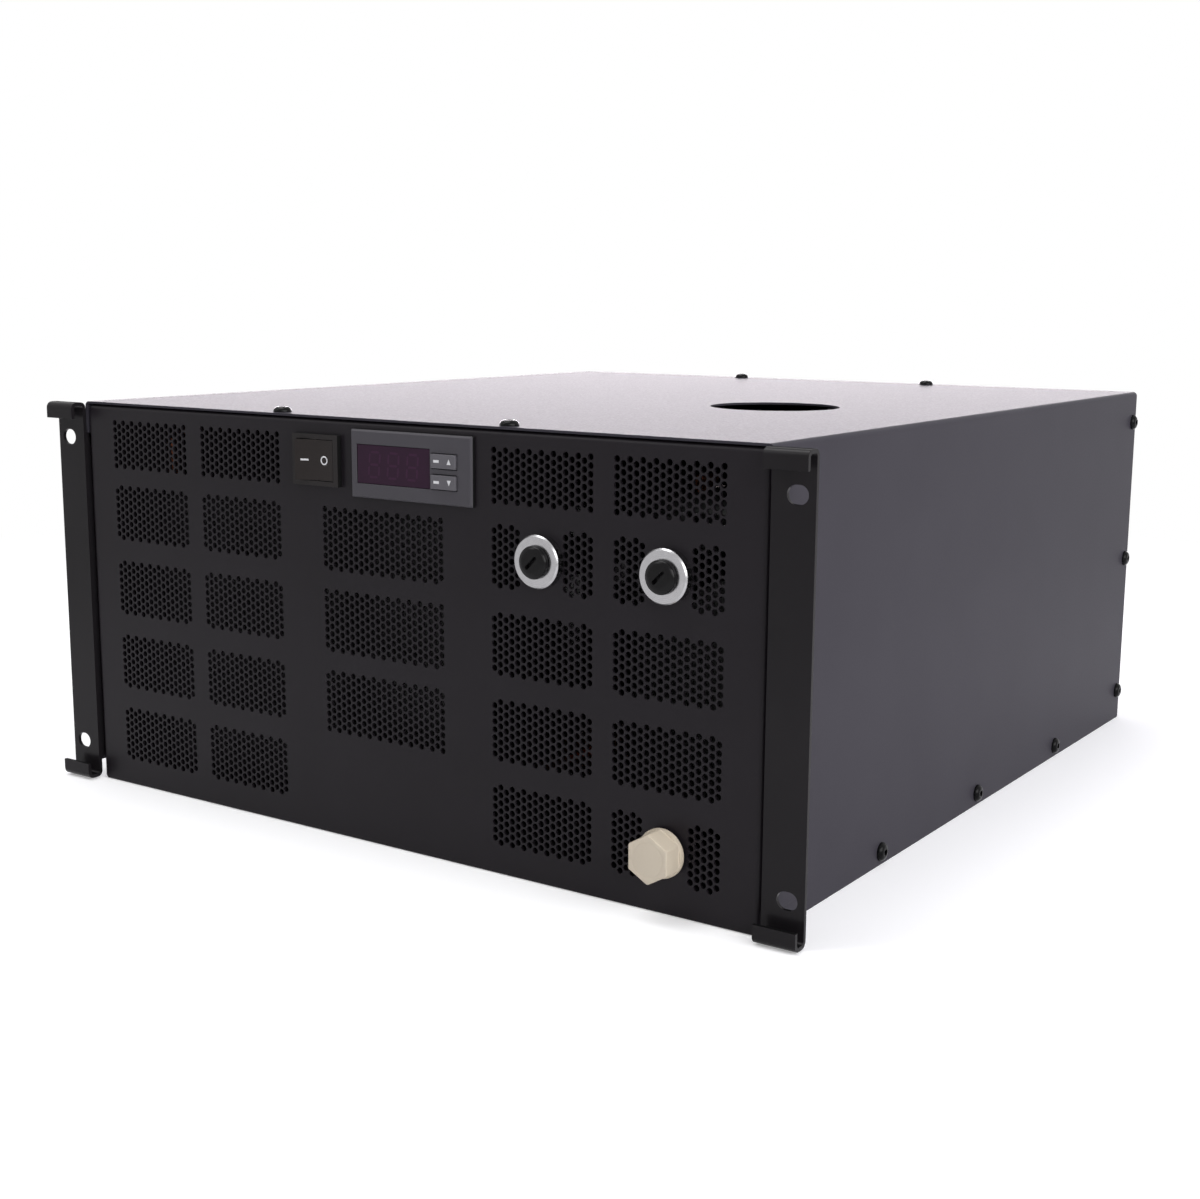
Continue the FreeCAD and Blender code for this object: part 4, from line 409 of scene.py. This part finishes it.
# Front panel: sheet with round perforation in fields, cut-outs for the controls and three bent edges
perforation = {"holeMm": 3.2, "pitchMm": 4.0, "sides": 12, "marginMm": 0.9}
fieldColumns = {"outerMm": 168.2, "innerMm": 98.45, "count": 17, "middleCount": 23, "besidePort": 5}
# holes in a high and a low column of the upper, the side and the middle fields
fieldRows = {"upperTopMm": 100.0, "firstTopMm": 63.75, "stepMm": 42.5, "rows": 4, "middleRows": 3,
             "upperHoles": (7, 6), "sideHoles": (8, 7), "middleHoles": (8, 8)}
cutOuts = {"switchMm": (-41.5, 87.1, 27.4, 23.9), "controllerMm": (21.0, 87.1, 70.9, 28.9), "around": 48,
           "portsMm": ((98.6, 48.2, 11.2), (168.2, 48.2, 11.2), (168.2, -79.5, 9.2))}
panelSheet = {"thickMm": 1.5, "bendMm": 3.0, "bendSteps": 8, "topReturnMm": 14.0, "footMm": 1.2}


def fieldHoles(columns, firstHigh, tall, short):
    # hole centres below a field's top: columns a triangle's height apart, every other one half a pitch
    # lower
    pitch = perforation["pitchMm"]
    column, row = np.meshgrid(np.arange(columns), np.arange(max(tall, short)))
    high = (column % 2 == 0) == firstHigh
    there = row < np.where(high, tall, short)
    x = (column - (columns - 1) / 2) * pitch * math.sqrt(3) / 2
    z = -perforation["holeMm"] / 2 - np.where(high, 0, pitch / 2) - row * pitch
    return np.stack([x[there], z[there]], axis=-1)


def roundLoops(centres, radius, sides):
    turn = 2 * math.pi * np.arange(sides) / sides
    return centres[:, None, :] + radius * np.stack([np.cos(turn), np.sin(turn)], axis=-1)[None]


def rectangleLoop(low, high):
    return np.array([[low[0], low[1]], [high[0], low[1]], [high[0], high[1]], [low[0], high[1]]])


def middleLoop(width, height, x=0.0, z=0.0):
    return rectangleLoop((x - width / 2, z - height / 2), (x + width / 2, z + height / 2))


def webTriangles(loops):
    # triangles between an outline and the convex holes in it, without those that lie in one hole
    sizes = [len(loop) for loop in loops]
    owner = np.repeat(np.arange(len(loops)), sizes)
    points = np.concatenate(loops)
    first = np.repeat(np.cumsum([0] + sizes[:-1]), sizes)
    here = np.arange(len(points))
    following = first + (here - first + 1) % np.repeat(sizes, sizes)
    edges = np.stack([here, following], axis=-1).tolist()
    made = delaunay_2d_cdt([Vector(p) for p in points.tolist()], edges, [], 1, tiny)
    origin = np.array([source[0] for source in made[3]])
    triangles = origin[np.array(made[2])]
    inHole = (owner[triangles] == owner[triangles[:, :1]]).all(axis=1) & (owner[triangles[:, 0]] > 0)
    return points, triangles[~inHole]


def panelFields():
    # centre, number of columns, top, whether the first column is high, and the holes in each kind of column
    c, r = fieldColumns, fieldRows
    sides = (-c["outerMm"], -c["innerMm"], c["innerMm"], c["outerMm"])
    shift = (c["count"] - c["besidePort"]) / 2 * perforation["pitchMm"] * math.sqrt(3) / 2
    fields = [(x, c["count"], r["upperTopMm"], True, *r["upperHoles"]) for x in sides]
    for row in range(r["rows"]):
        top = r["firstTopMm"] - row * r["stepMm"]
        for x in sides:
            portHere = (x > 0 and row == 0) or (x == c["outerMm"] and row == r["rows"] - 1)
            spots = [(x, c["count"])]
            if portHere:
                spots = [(x - shift, c["besidePort"]), (x + shift, c["besidePort"])]
            fields += [(spot, columns, top, False, *r["sideHoles"]) for spot, columns in spots]
        if row < r["middleRows"]:
            fields.append((0.0, c["middleCount"], top, row < r["middleRows"] - 1, *r["middleHoles"]))
    return fields


def sheetEdge(profile, start, end, along, out):
    # a closed profile of (depth, rise) carried from start to end along one axis; its first span stays open
    count = len(profile)
    ends = np.zeros((2, count, 3))
    ends[:, :, 1] = profile[:, 0]
    ends[:, :, out] = profile[:, 1]
    ends[:, :, along] = np.array([start, end])[:, None]
    caps = [list(range(count)), list(range(2 * count - 1, count - 1, -1))]
    return ends.reshape(-1, 3), gridFaces(2, count).tolist() + caps


def bentProfile(edge, depth, side):
    # outside of the bend from the face to the return's end, and back along its inside
    bend, thick = panelSheet["bendMm"], panelSheet["thickMm"]
    turn = np.linspace(0, math.pi / 2, panelSheet["bendSteps"] + 1)
    outside = np.stack([bend - bend * np.cos(turn), edge - bend + bend * np.sin(turn)], axis=-1)
    inner = bend - thick
    back = turn[::-1]
    inside = np.stack([bend - inner * np.cos(back), edge - bend + inner * np.sin(back)], axis=-1)
    tip = np.array([[depth, edge], [depth, edge - thick]])
    return np.concatenate([outside, tip, inside]) * np.array([1.0, side])


def makeFrontPanel():
    low, high = (np.array(corner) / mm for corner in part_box("front_panel"))
    bend, thick = panelSheet["bendMm"], panelSheet["thickMm"]
    outline = rectangleLoop((low[0] + bend, low[2]), (high[0] - bend, high[2] - bend))
    patterns, points, triangles, walls, frames = {}, [], [], [], []
    total = 0
    for x, columns, top, firstHigh, tall, short in panelFields():
        key = (columns, firstHigh, tall, short)
        if key not in patterns:
            centres = fieldHoles(*key)
            rings = roundLoops(centres, perforation["holeMm"] / 2, perforation["sides"])
            room = perforation["holeMm"] / 2 + perforation["marginMm"]
            border = rectangleLoop(centres.min(axis=0) - room, centres.max(axis=0) + room)
            web, corners = webTriangles([border, *rings])
            patterns[key] = (web, corners, len(rings), border)
        web, corners, rings, border = patterns[key]
        points.append(web + (x, top))
        triangles.append(corners + total)
        loops = 4 + total + np.arange(rings * perforation["sides"]).reshape(rings, -1)
        walls.append(np.stack([loops, np.roll(loops, -1, axis=1)], axis=-1).reshape(-1, 2))
        frames.append(border + (x, top))
        total += len(web)
    cuts = [middleLoop(w, h, x, z) for x, z, w, h in (cutOuts["switchMm"], cutOuts["controllerMm"])]
    cuts += [roundLoops(np.array([[x, z]]), r, cutOuts["around"])[0] for x, z, r in cutOuts["portsMm"]]
    rest, corners = webTriangles([outline, *frames, *cuts])
    points.append(rest)
    triangles.append(corners + total)
    start = total + 4 + 4 * len(frames)
    for loop in cuts:
        ids = start + np.arange(len(loop))
        walls.append(np.stack([ids, np.roll(ids, -1)], axis=-1))
        start += len(loop)
    walls.append(np.array([[total, total + 1]]))
    flat = np.concatenate(points)
    triangles, walls = np.concatenate(triangles), np.concatenate(walls)
    count = len(flat)
    face = np.stack([flat[:, 0], np.zeros(count), flat[:, 1]], axis=-1)
    back = face + (0, thick, 0)
    quads = np.concatenate([walls, walls[:, ::-1] + count], axis=1)
    faces = triangles.tolist() + (triangles[:, ::-1] + count).tolist() + quads.tolist()
    solid = [face, back]
    made = 2 * count
    foot = low[2] + panelSheet["footMm"]
    edges = [
        sheetEdge(bentProfile(high[2], panelSheet["topReturnMm"], 1), low[0] + bend, high[0] - bend, 0, 2),
        sheetEdge(bentProfile(high[0], high[1], 1), foot, high[2] - bend, 2, 0),
        sheetEdge(bentProfile(-low[0], high[1], -1), foot, high[2] - bend, 2, 0),
    ]
    for spots, spans in edges:
        solid.append(spots)
        faces += [[made + i for i in span] for span in spans]
        made += len(spots)
    mesh = meshFrom("perforatedFront", np.concatenate(solid) * mm, faces)
    return smoothPiece("perforatedFront", mesh, "powderCoat", "chassis", "front_panel")


frontPanel = makeFrontPanel()
print("front panel:", len(frontPanel.data.polygons), "faces")

# Button-head screws: dome, hexagon socket and its floor
buttonScrew = {"headMm": 4.75, "riseMm": 2.75, "brimMm": 0.4, "socketMm": 1.5, "socketDeepMm": 1.5,
               "mouthShare": 1.25, "lipMm": 0.12, "around": 48, "domeSteps": 9}
screwSpots = {"sideFaceMm": 220.0, "earFaceMm": 222.0, "topFaceMm": 109.4, "lowRowMm": -102.5,
              "lowRowYMm": (121.0, 245.5, 370.0), "rearYMm": 488.0, "rearZMm": (-90.0, 0.0, 90.0),
              "topXMm": (-74.0, 74.0), "topYMm": (8.0, 488.0), "earYMm": 20.0, "earZMm": (-75.0, 75.0)}


def screwHead():
    # rings of (radius, rise): a brim, a quarter ellipse to the socket's mouth, a hexagon down to its floor
    s = buttonScrew
    turn = 2 * math.pi * np.arange(s["around"]) / s["around"]
    toFlat = (turn + math.pi / 6) % (math.pi / 3) - math.pi / 6
    hexagon = s["socketMm"] / np.cos(toFlat)
    mouth = s["socketMm"] * s["mouthShare"]
    lift = np.linspace(0, math.pi / 2, s["domeSteps"])
    dome = mouth + (s["headMm"] - mouth) * np.cos(lift)
    rise = s["brimMm"] + (s["riseMm"] - s["brimMm"]) * np.sin(lift)
    ones = np.ones(s["around"])
    radius = np.concatenate([[s["headMm"] * ones], dome[:, None] * ones, [hexagon, hexagon, 0 * ones]])
    floor = s["riseMm"] - s["socketDeepMm"]
    height = np.concatenate([[0.0], rise, [s["riseMm"] - s["lipMm"], floor, floor]])[:, None] * ones
    points = np.stack([radius * np.cos(turn), radius * np.sin(turn), height], axis=-1)
    return points.reshape(-1, 3), gridFaces(len(points), s["around"], closed=True)


def makeScrews(name, node, spots):
    # spots hold a head's seat and the direction it faces
    head, quads = screwHead()
    points, faces = [], []
    for i, (seat, way) in enumerate(spots):
        turn = np.array(Vector(way).to_track_quat("Z", "Y").to_matrix())
        points.append(head @ turn.T + np.array(seat))
        faces += (quads + i * len(head)).tolist()
    mesh = meshFrom(name, np.concatenate(points) * mm, faces)
    return smoothPiece(name, mesh, "blackZinc", "chassis", node, angle=40)


def screwPlaces():
    s = screwSpots
    cover, ear = [], []
    for side in (-1, 1):
        column = [(s["rearYMm"], z) for z in s["rearZMm"]]
        row = [(y, s["lowRowMm"]) for y in s["lowRowYMm"]]
        cover += [((side * s["sideFaceMm"], y, z), (side, 0, 0)) for y, z in row + column]
        ear += [((side * s["earFaceMm"], s["earYMm"], z), (side, 0, 0)) for z in s["earZMm"]]
    cover += [((x, y, s["topFaceMm"]), (0, 0, 1)) for x in s["topXMm"] for y in s["topYMm"]]
    return cover, ear


coverSpots, earSpots = screwPlaces()
makeScrews("coverScrewHeads", "cover_screws", coverSpots)
makeScrews("earScrewHeads", "ear_screws", earSpots)
print("screws:", len(coverSpots) + len(earSpots))

# Service plug: a hexagon with a point up, a faint round line on its face and a disc behind
servicePlug = {"xMm": 168.2, "zMm": -79.5, "frontMm": -14.7, "hexBackMm": -4.3, "discBackMm": -1.8,
               "flatMm": 10.3, "bluntMm": 0.15, "lineMm": 8.0, "lineHalfMm": (0.5, 0.1), "lineDeepMm": 0.18,
               "discMm": 11.7, "shankMm": 6.5, "shankEndMm": 16.0, "easeMm": 0.65, "easeShare": 0.3,
               "rootMm": (0.3, 0.2), "rimMm": 0.2, "around": 144}


def makeServicePlug():
    # rings of (radius, depth) about the plug's axis
    # the hexagon's radius is its flat's distance divided by the cosine of the angle from the flat
    s = servicePlug
    turn = 2 * math.pi * np.arange(s["around"]) / s["around"]
    ones = np.ones(s["around"])
    toFlat = (turn + math.pi / 6) % (math.pi / 3) - math.pi / 6
    hexagon = np.minimum(s["flatMm"] / np.cos(toFlat), s["flatMm"] / math.cos(math.pi / 6) - s["bluntMm"])
    front, back, ease, line = s["frontMm"], s["hexBackMm"], s["easeMm"], s["lineMm"]
    wide, narrow = s["lineHalfMm"]
    sunk = front + s["lineDeepMm"]
    some = s["easeShare"] * ease
    disc, end, rim = s["discMm"], s["discBackMm"], s["rimMm"]
    rings = [
        (0, front), (line - wide, front), (line - narrow, sunk), (line + narrow, sunk),
        (line + wide, front),
        (hexagon - ease, front), (hexagon - some, front + some), (hexagon, front + ease),
        (hexagon, back - s["rootMm"][0]), (hexagon + s["rootMm"][1], back),
        (disc - ease, back), (disc - some, back + some), (disc, back + ease), (disc, end - rim),
        (disc - rim, end),
        (s["shankMm"], end), (s["shankMm"], s["shankEndMm"]), (0, s["shankEndMm"]),
    ]
    radius = np.array([ring[0] * ones for ring in rings])
    depth = np.array([ring[1] * ones for ring in rings])
    points = np.stack([s["xMm"] + radius * np.cos(turn), depth, s["zMm"] + radius * np.sin(turn)], axis=-1)
    quads = gridFaces(len(rings), s["around"], closed=True)
    mesh = meshFrom("serviceHexPlug", points.reshape(-1, 3) * mm, quads)
    return smoothPiece("serviceHexPlug", mesh, "ivoryNylon", "service_screw", "service_plug", angle=25)


makeServicePlug()
print("service plug made")

# Slotted plugs of the ports: a low wall, a shoulder of a quarter ellipse, and a flat with a slot sunk in it
slottedPlug = {"zMm": 48.2, "backMm": -5.3, "frontMm": -8.5, "headMm": 7.9, "wallMm": 1.1, "flatMm": 4.6,
               "slotMm": (8.4, 1.9), "slotDeepMm": 2.4, "slotDegrees": 45.0, "shankMm": 6.5,
               "shankEndMm": 16.0, "around": 72, "shoulderSteps": 9, "endSteps": 6}


def makeSlottedPlug(name, node, body, x):
    # the turned outside as rings, then the flat about the slot, the slot's wall and its floor
    s = slottedPlug
    turn = 2 * math.pi * np.arange(s["around"]) / s["around"]
    lift = np.linspace(0, math.pi / 2, s["shoulderSteps"])
    brim = s["backMm"] - s["wallMm"]
    radius = s["flatMm"] + (s["headMm"] - s["flatMm"]) * np.cos(lift)
    depth = brim + (s["frontMm"] - brim) * np.sin(lift)
    radius = np.concatenate([[0, s["shankMm"], s["shankMm"], s["headMm"]], radius])
    depth = np.concatenate([[s["shankEndMm"], s["shankEndMm"], s["backMm"], s["backMm"]], depth])
    ways = np.stack([np.cos(turn), 0 * turn, np.sin(turn)], axis=-1)
    outside = radius[:, None, None] * ways + depth[:, None, None] * np.array([0.0, 1.0, 0.0])
    faces = gridFaces(len(radius), s["around"], closed=True).tolist()
    half = (s["slotMm"][0] - s["slotMm"][1]) / 2
    swing = np.linspace(-math.pi / 2, math.pi / 2, s["endSteps"])
    end = np.stack([half + s["slotMm"][1] / 2 * np.cos(swing), s["slotMm"][1] / 2 * np.sin(swing)], axis=-1)
    tilt = math.radians(s["slotDegrees"])
    toSlot = np.array([[math.cos(tilt), math.sin(tilt)], [-math.sin(tilt), math.cos(tilt)]])
    slot = np.concatenate([end, -end]) @ toSlot
    rim = s["flatMm"] * np.stack([np.cos(turn), np.sin(turn)], axis=-1)
    flat, triangles = webTriangles([rim, slot])
    made = outside.size // 3
    faces += (triangles + made).tolist()
    low = made + len(flat) + np.arange(len(slot))
    high = made + len(rim) + np.arange(len(slot))
    faces += np.stack([high, np.roll(high, -1), np.roll(low, -1), low], axis=-1).tolist() + [low.tolist()]
    level = [np.insert(spots, 1, at, axis=1)
             for spots, at in ((flat, s["frontMm"]), (slot, s["frontMm"] + s["slotDeepMm"]))]
    points = np.concatenate([outside.reshape(-1, 3), *level]) + (x, 0.0, s["zMm"])
    mesh = meshFrom(name, points * mm, faces)
    return smoothPiece(name, mesh, "plugNylon", body, node, angle=28)


makeSlottedPlug("fillPlugHead", "fill_plug", "fill_screw", 98.6)
makeSlottedPlug("balancePlugHead", "balance_plug", "balance_screw", 168.2)
print("slotted plugs made")

# Marks: thin prints on the rocker and the keys, and the unlit segments of the display
printMarks = {"liftMm": 0.03, "thickMm": 0.05, "dashMm": (4.6, 0.9), "ringMm": (2.3, 1.6), "dashAtMm": 6.2,
              "ringAtMm": 5.9, "around": 40}
rockerFace = {"pivotMm": (-41.5, -1.45, 87.1), "middleMm": 1.0, "restDegrees": 8.0, "slopeDegrees": 8.0}
keyMarks = {"faceMm": -3.6, "upMm": 91.3, "downMm": 81.2, "triangleAtMm": 46.4, "triangleMm": (2.5, 2.6),
            "barAtMm": 38.6, "barMm": (3.4, 1.3)}
digits = {"faceMm": -2.2, "middleMm": (10.2, 87.1), "stepMm": 12.2, "heightMm": 12.4, "widthMm": 6.6,
          "barMm": 1.1, "postShare": 0.96, "leanDegrees": 5.0, "count": 3, "liftMm": 0.01, "thickMm": 0.02}

frontAxes = ((1.0, 0.0, 0.0), (0.0, 0.0, 1.0))


def slab(outline, plane, thick):
    # a flat outline of (u, v) points given thickness along the third axis of its plane
    origin, along, up = (np.array(part, float) for part in plane)
    out = np.cross(along, up)
    base = origin + outline[:, :1] * along + outline[:, 1:] * up
    points = np.concatenate([base, base + out * thick])
    count = len(outline)
    here = np.arange(count)
    sides = np.stack([here, np.roll(here, -1), np.roll(here, -1) + count, here + count], axis=-1)
    return points, sides.tolist() + [here.tolist(), (here[::-1] + count).tolist()]


def ringSlab(outer, inner, count, plane, thick):
    # a washer of two circles given thickness
    origin, along, up = (np.array(part, float) for part in plane)
    out = np.cross(along, up)
    turn = 2 * math.pi * np.arange(count) / count
    way = np.cos(turn)[:, None] * along + np.sin(turn)[:, None] * up
    rings = np.stack([origin + inner * way, origin + outer * way, origin + outer * way + out * thick,
                      origin + inner * way + out * thick, origin + inner * way])
    return rings.reshape(-1, 3), gridFaces(5, count, closed=True).tolist()


def markPiece(name, parts, material, body):
    points, faces = [], []
    for spots, spans in parts:
        shift = sum(len(p) for p in points)
        points.append(spots)
        faces += [[shift + i for i in span] for span in spans]
    mesh = meshFrom(name, np.concatenate(points) * mm, faces)
    return smoothPiece(name, mesh, material, body)


def rockerPlane(side, distance):
    # the origin and axes of a mark on one half of the rocker, at rest
    r = rockerFace
    rest, slope = math.radians(r["restDegrees"]), math.radians(r["slopeDegrees"])
    ridge = np.array([r["middleMm"] * math.sin(rest), -r["middleMm"] * math.cos(rest), 0.0])
    angle = rest - side * slope
    along = np.array([math.cos(angle), math.sin(angle), 0.0])
    up = np.array([0.0, 0.0, 1.0])
    out = np.cross(along, up)
    origin = np.array(r["pivotMm"]) + ridge + side * distance * along + out * printMarks["liftMm"]
    return origin, along, up


def makeRockerMarks():
    p = printMarks
    parts = [slab(middleLoop(*p["dashMm"]), rockerPlane(-1, p["dashAtMm"]), p["thickMm"]),
             ringSlab(*p["ringMm"], p["around"], rockerPlane(1, p["ringAtMm"]), p["thickMm"])]
    markPiece("rockerMarks", parts, "padPrint", "rocker")


def makeKeyMark(name, z, way, body):
    # a triangle that points up or down, and a bar beside it
    p, k = printMarks, keyMarks
    face = k["faceMm"] - p["liftMm"]
    w, h = k["triangleMm"][0] / 2, way * k["triangleMm"][1] / 2
    triangle = np.array([[-w, -h], [w, -h], [0.0, h]])[::way]
    parts = [slab(triangle, ((k["triangleAtMm"], face, z), *frontAxes), p["thickMm"]),
             slab(middleLoop(*k["barMm"]), ((k["barAtMm"], face, z), *frontAxes), p["thickMm"])]
    markPiece(name, parts, "padPrint", body)


def makeSegments():
    # seven bars with pointed ends to a digit, leant over
    d = digits
    w, h, t = d["widthMm"] / 2, d["heightMm"] / 2, d["barMm"] / 2
    lean = math.tan(math.radians(d["leanDegrees"]))
    level = np.array([[-w + t, 0], [-w + 2 * t, -t], [w - 2 * t, -t],
                      [w - t, 0], [w - 2 * t, t], [-w + 2 * t, t]])
    post = np.array([[0, -h / 2 + t], [t, -h / 2 + 2 * t], [t, h / 2 - 2 * t],
                     [0, h / 2 - t], [-t, h / 2 - 2 * t], [-t, -h / 2 + 2 * t]]) * (1.0, d["postShare"])
    segments = [level + (0, z) for z in (-h, 0, h)]
    segments += [post + (x, z) for x in (-w, w) for z in (-h / 2, h / 2)]
    parts = []
    for i in range(d["count"]):
        middle = d["middleMm"][0] + (i - (d["count"] - 1) / 2) * d["stepMm"]
        plane = ((middle, d["faceMm"] - d["liftMm"], d["middleMm"][1]), *frontAxes)
        for outline in segments:
            leant = np.stack([outline[:, 0] + outline[:, 1] * lean, outline[:, 1]], axis=-1)
            parts.append(slab(leant, plane, d["thickMm"]))
    markPiece("displaySegments", parts, "segmentAcrylic", "chassis")


makeRockerMarks()
makeKeyMark("upMark", keyMarks["upMm"], 1, "up_key")
makeKeyMark("downMark", keyMarks["downMm"], -1, "down_key")
makeSegments()
print("marks made")

# What stays as packed, with its own finish
dressed = {
    "sparkAbs": ("controller_housing", "controller_clips", "terminal_cover", "pump", "fan_frame",
                 "fan_rotor"),
    # painted shade: the control box's lid is kept near black, so that it stays dark behind the perforation
    "paintedShadeMatt": ("control_box_lid",),
    "circuitBoard": ("controller_board", "control_board"),
    "blackZinc": ("bulkhead_nuts",),
    "platedBrass": ("expansion_valve",),
    "sealRubber": ("fill_seal", "balance_seal", "service_seal", "cap_seal", "reservoir_hoses",
                   "coolant_hoses", "compressor_grommets"),
    "tankPoly": ("reservoir",),
    "zincSteel": ("pump_saddle", "compressor_bolts", "fan_shroud", "control_box"),
    "brazedStainless": ("heat_exchanger",),
    "potEnamel": ("compressor", "accumulator"),
    "drawnCopper": ("discharge_line", "suction_line", "liquid_line", "filter_drier"),
    "dippedFins": ("condenser_tubes", "condenser_fins", "condenser_headers"),
}
for material, names in dressed.items():
    for name in names:
        for slot in nodes[name].material_slots:
            slot.material = finish[material]
print("dressed nodes:", sum(len(names) for names in dressed.values()))

# Floor, light and camera
studio = {"floorM": 12.0, "floorGapM": 0.0002, "floorHex": "#ececec", "glow": 0.25, "nearM": 0.55,
          "farM": 1.15, "middleM": (0.0, 0.25, 0.0), "whiteHex": "#ffffff", "skyHex": "#eae9f2",
          "dimHex": "#3c3c3f", "towards": (0.45, 0.86, 0.24), "skyEdge": 0.7}
softBoxes = {
    "topBox": {"at": (-0.5, -0.1, 2.2), "aim": (0.0, 0.2, 0.0), "size": (1.3, 1.3), "watts": 26.0,
               "hex": "#ffffff"},
    "backBox": {"at": (-1.6, 2.9, 0.3), "aim": (0.0, 0.25, 0.1), "size": (3.6, 0.8), "watts": 55.0,
                "hex": "#fff6fd"},
    "leftBox": {"at": (-1.25, -1.3, 1.7), "aim": (0.05, 0.0, 0.05), "size": (0.9, 0.9), "watts": 7.5,
                "hex": "#ffffff"},
    "fillBox": {"at": (1.75, -1.45, 1.1), "aim": (0.1, 0.0, 0.0), "size": (1.6, 1.3), "watts": 12.5,
                "hex": "#ffffff"},
    "rightBox": {"at": (2.3, -0.4, 0.9), "aim": (0.2, 0.1, 0.0), "size": (2.0, 1.6), "watts": 42.0,
                 "hex": "#ffffff"},
}
cameraSpot = {"atMm": (562.29, -630.89, 171.37), "azimuth": 34.31, "elevation": 10.23, "roll": 0.37,
              "lensMm": 51.03, "sensorMm": 36.0, "clipM": (0.02, 50.0)}


def backgroundRays(tree):
    # 1 for the rays that show the white background: the camera's, and those seen in gloss and through glass
    path = addNode(tree, "ShaderNodeLightPath").outputs
    straight = addNode(tree, "ShaderNodeMath", {0: path["Is Camera Ray"], 1: path["Is Glossy Ray"]},
                       operation="MAXIMUM")
    return addNode(tree, "ShaderNodeMath", {0: straight.outputs["Value"], 1: path["Is Transmission Ray"]},
                   operation="MAXIMUM").outputs["Value"]


def makeFloor():
    # pale with the object's shadow near it, fading to white; plain pale for the light that it throws back
    half = studio["floorM"] / 2
    low = cadBox[0].z - studio["floorGapM"]
    corners = [(-half, -half, low), (half, -half, low), (half, half, low), (-half, half, low)]
    mesh = bpy.data.meshes.new("studioFloor")
    mesh.from_pydata(corners, [], [(0, 1, 2, 3)])
    material, tree = newMaterial("paleFloor")
    place = addNode(tree, "ShaderNodeTexCoord").outputs["Object"]
    away = addNode(tree, "ShaderNodeVectorMath", {0: place, 1: studio["middleM"]}, operation="DISTANCE")
    far = addNode(tree, "ShaderNodeMapRange", {"Value": away.outputs["Value"], "From Min": studio["nearM"],
                                               "From Max": studio["farM"]}, interpolation_type="SMOOTHSTEP")
    pale = addNode(tree, "ShaderNodeBsdfDiffuse", {"Color": linear(studio["floorHex"])})
    paint = linear(studio["whiteHex"])
    glow = addNode(tree, "ShaderNodeEmission", {"Color": paint, "Strength": studio["glow"]})
    near = addNode(tree, "ShaderNodeAddShader", {0: pale.outputs["BSDF"], 1: glow.outputs["Emission"]})
    white = addNode(tree, "ShaderNodeEmission", {"Color": paint, "Strength": 1.0})
    seen = addNode(tree, "ShaderNodeMixShader", {0: far.outputs["Result"], 1: near.outputs["Shader"],
                                                 2: white.outputs["Emission"]})
    both = addNode(tree, "ShaderNodeMixShader", {0: backgroundRays(tree), 1: pale.outputs["BSDF"],
                                                 2: seen.outputs["Shader"]})
    addNode(tree, "ShaderNodeOutputMaterial", {"Surface": both.outputs["Shader"]})
    mesh.materials.append(material)
    floor = bpy.data.objects.new("studioFloor", mesh)
    bpy.context.scene.collection.objects.link(floor)


def makeWorld():
    # white as a background; the light it gives is bright behind, above and to the right, dim elsewhere
    world = bpy.data.worlds.new("studioSky")
    bpy.context.scene.world = world
    world.use_nodes = True
    tree = world.node_tree
    tree.nodes.clear()
    way = addNode(tree, "ShaderNodeTexCoord").outputs["Generated"]
    facing = addNode(tree, "ShaderNodeVectorMath", {0: way, 1: studio["towards"]}, operation="DOT_PRODUCT")
    level = addNode(tree, "ShaderNodeMapRange", {
        "Value": facing.outputs["Value"], "From Min": -studio["skyEdge"], "From Max": studio["skyEdge"]},
        interpolation_type="SMOOTHSTEP")
    sky = addNode(tree, "ShaderNodeMix", {"Factor": level.outputs["Result"], "A": linear(studio["dimHex"]),
                                          "B": linear(studio["skyHex"])}, data_type="RGBA")
    seen = addNode(tree, "ShaderNodeMix", {"Factor": backgroundRays(tree), "A": sky.outputs[2],
                                           "B": linear(studio["whiteHex"])}, data_type="RGBA")
    shader = addNode(tree, "ShaderNodeBackground", {"Color": seen.outputs[2], "Strength": 1.0})
    addNode(tree, "ShaderNodeOutputWorld", {"Surface": shader.outputs["Background"]})


def makeLights():
    for name, s in softBoxes.items():
        lamp = bpy.data.lights.new(name, "AREA")
        lamp.shape = "RECTANGLE"
        lamp.size, lamp.size_y = s["size"]
        lamp.energy = s["watts"]
        lamp.color = linear(s["hex"])[:3]
        light = bpy.data.objects.new(name, lamp)
        light.location = s["at"]
        light.rotation_euler = (Vector(s["aim"]) - Vector(s["at"])).to_track_quat("-Z", "Y").to_euler()
        light.visible_camera = False
        bpy.context.scene.collection.objects.link(light)


def makeCamera():
    s = cameraSpot
    lens = bpy.data.cameras.new("photoLens")
    lens.lens = s["lensMm"]
    lens.sensor_width = s["sensorMm"]
    lens.clip_start, lens.clip_end = s["clipM"]
    camera = bpy.data.objects.new("photoCamera", lens)
    turn = (Matrix.Rotation(math.radians(s["azimuth"]), 4, "Z")
            @ Matrix.Rotation(math.radians(90 - s["elevation"]), 4, "X")
            @ Matrix.Rotation(math.radians(s["roll"]), 4, "Z"))
    camera.matrix_world = Matrix.Translation(Vector(s["atMm"]) * mm) @ turn
    bpy.context.scene.collection.objects.link(camera)
    bpy.context.scene.camera = camera


makeFloor()
makeWorld()
makeLights()
makeCamera()
bpy.context.scene.view_settings.view_transform = "Standard"
print("studio ready")
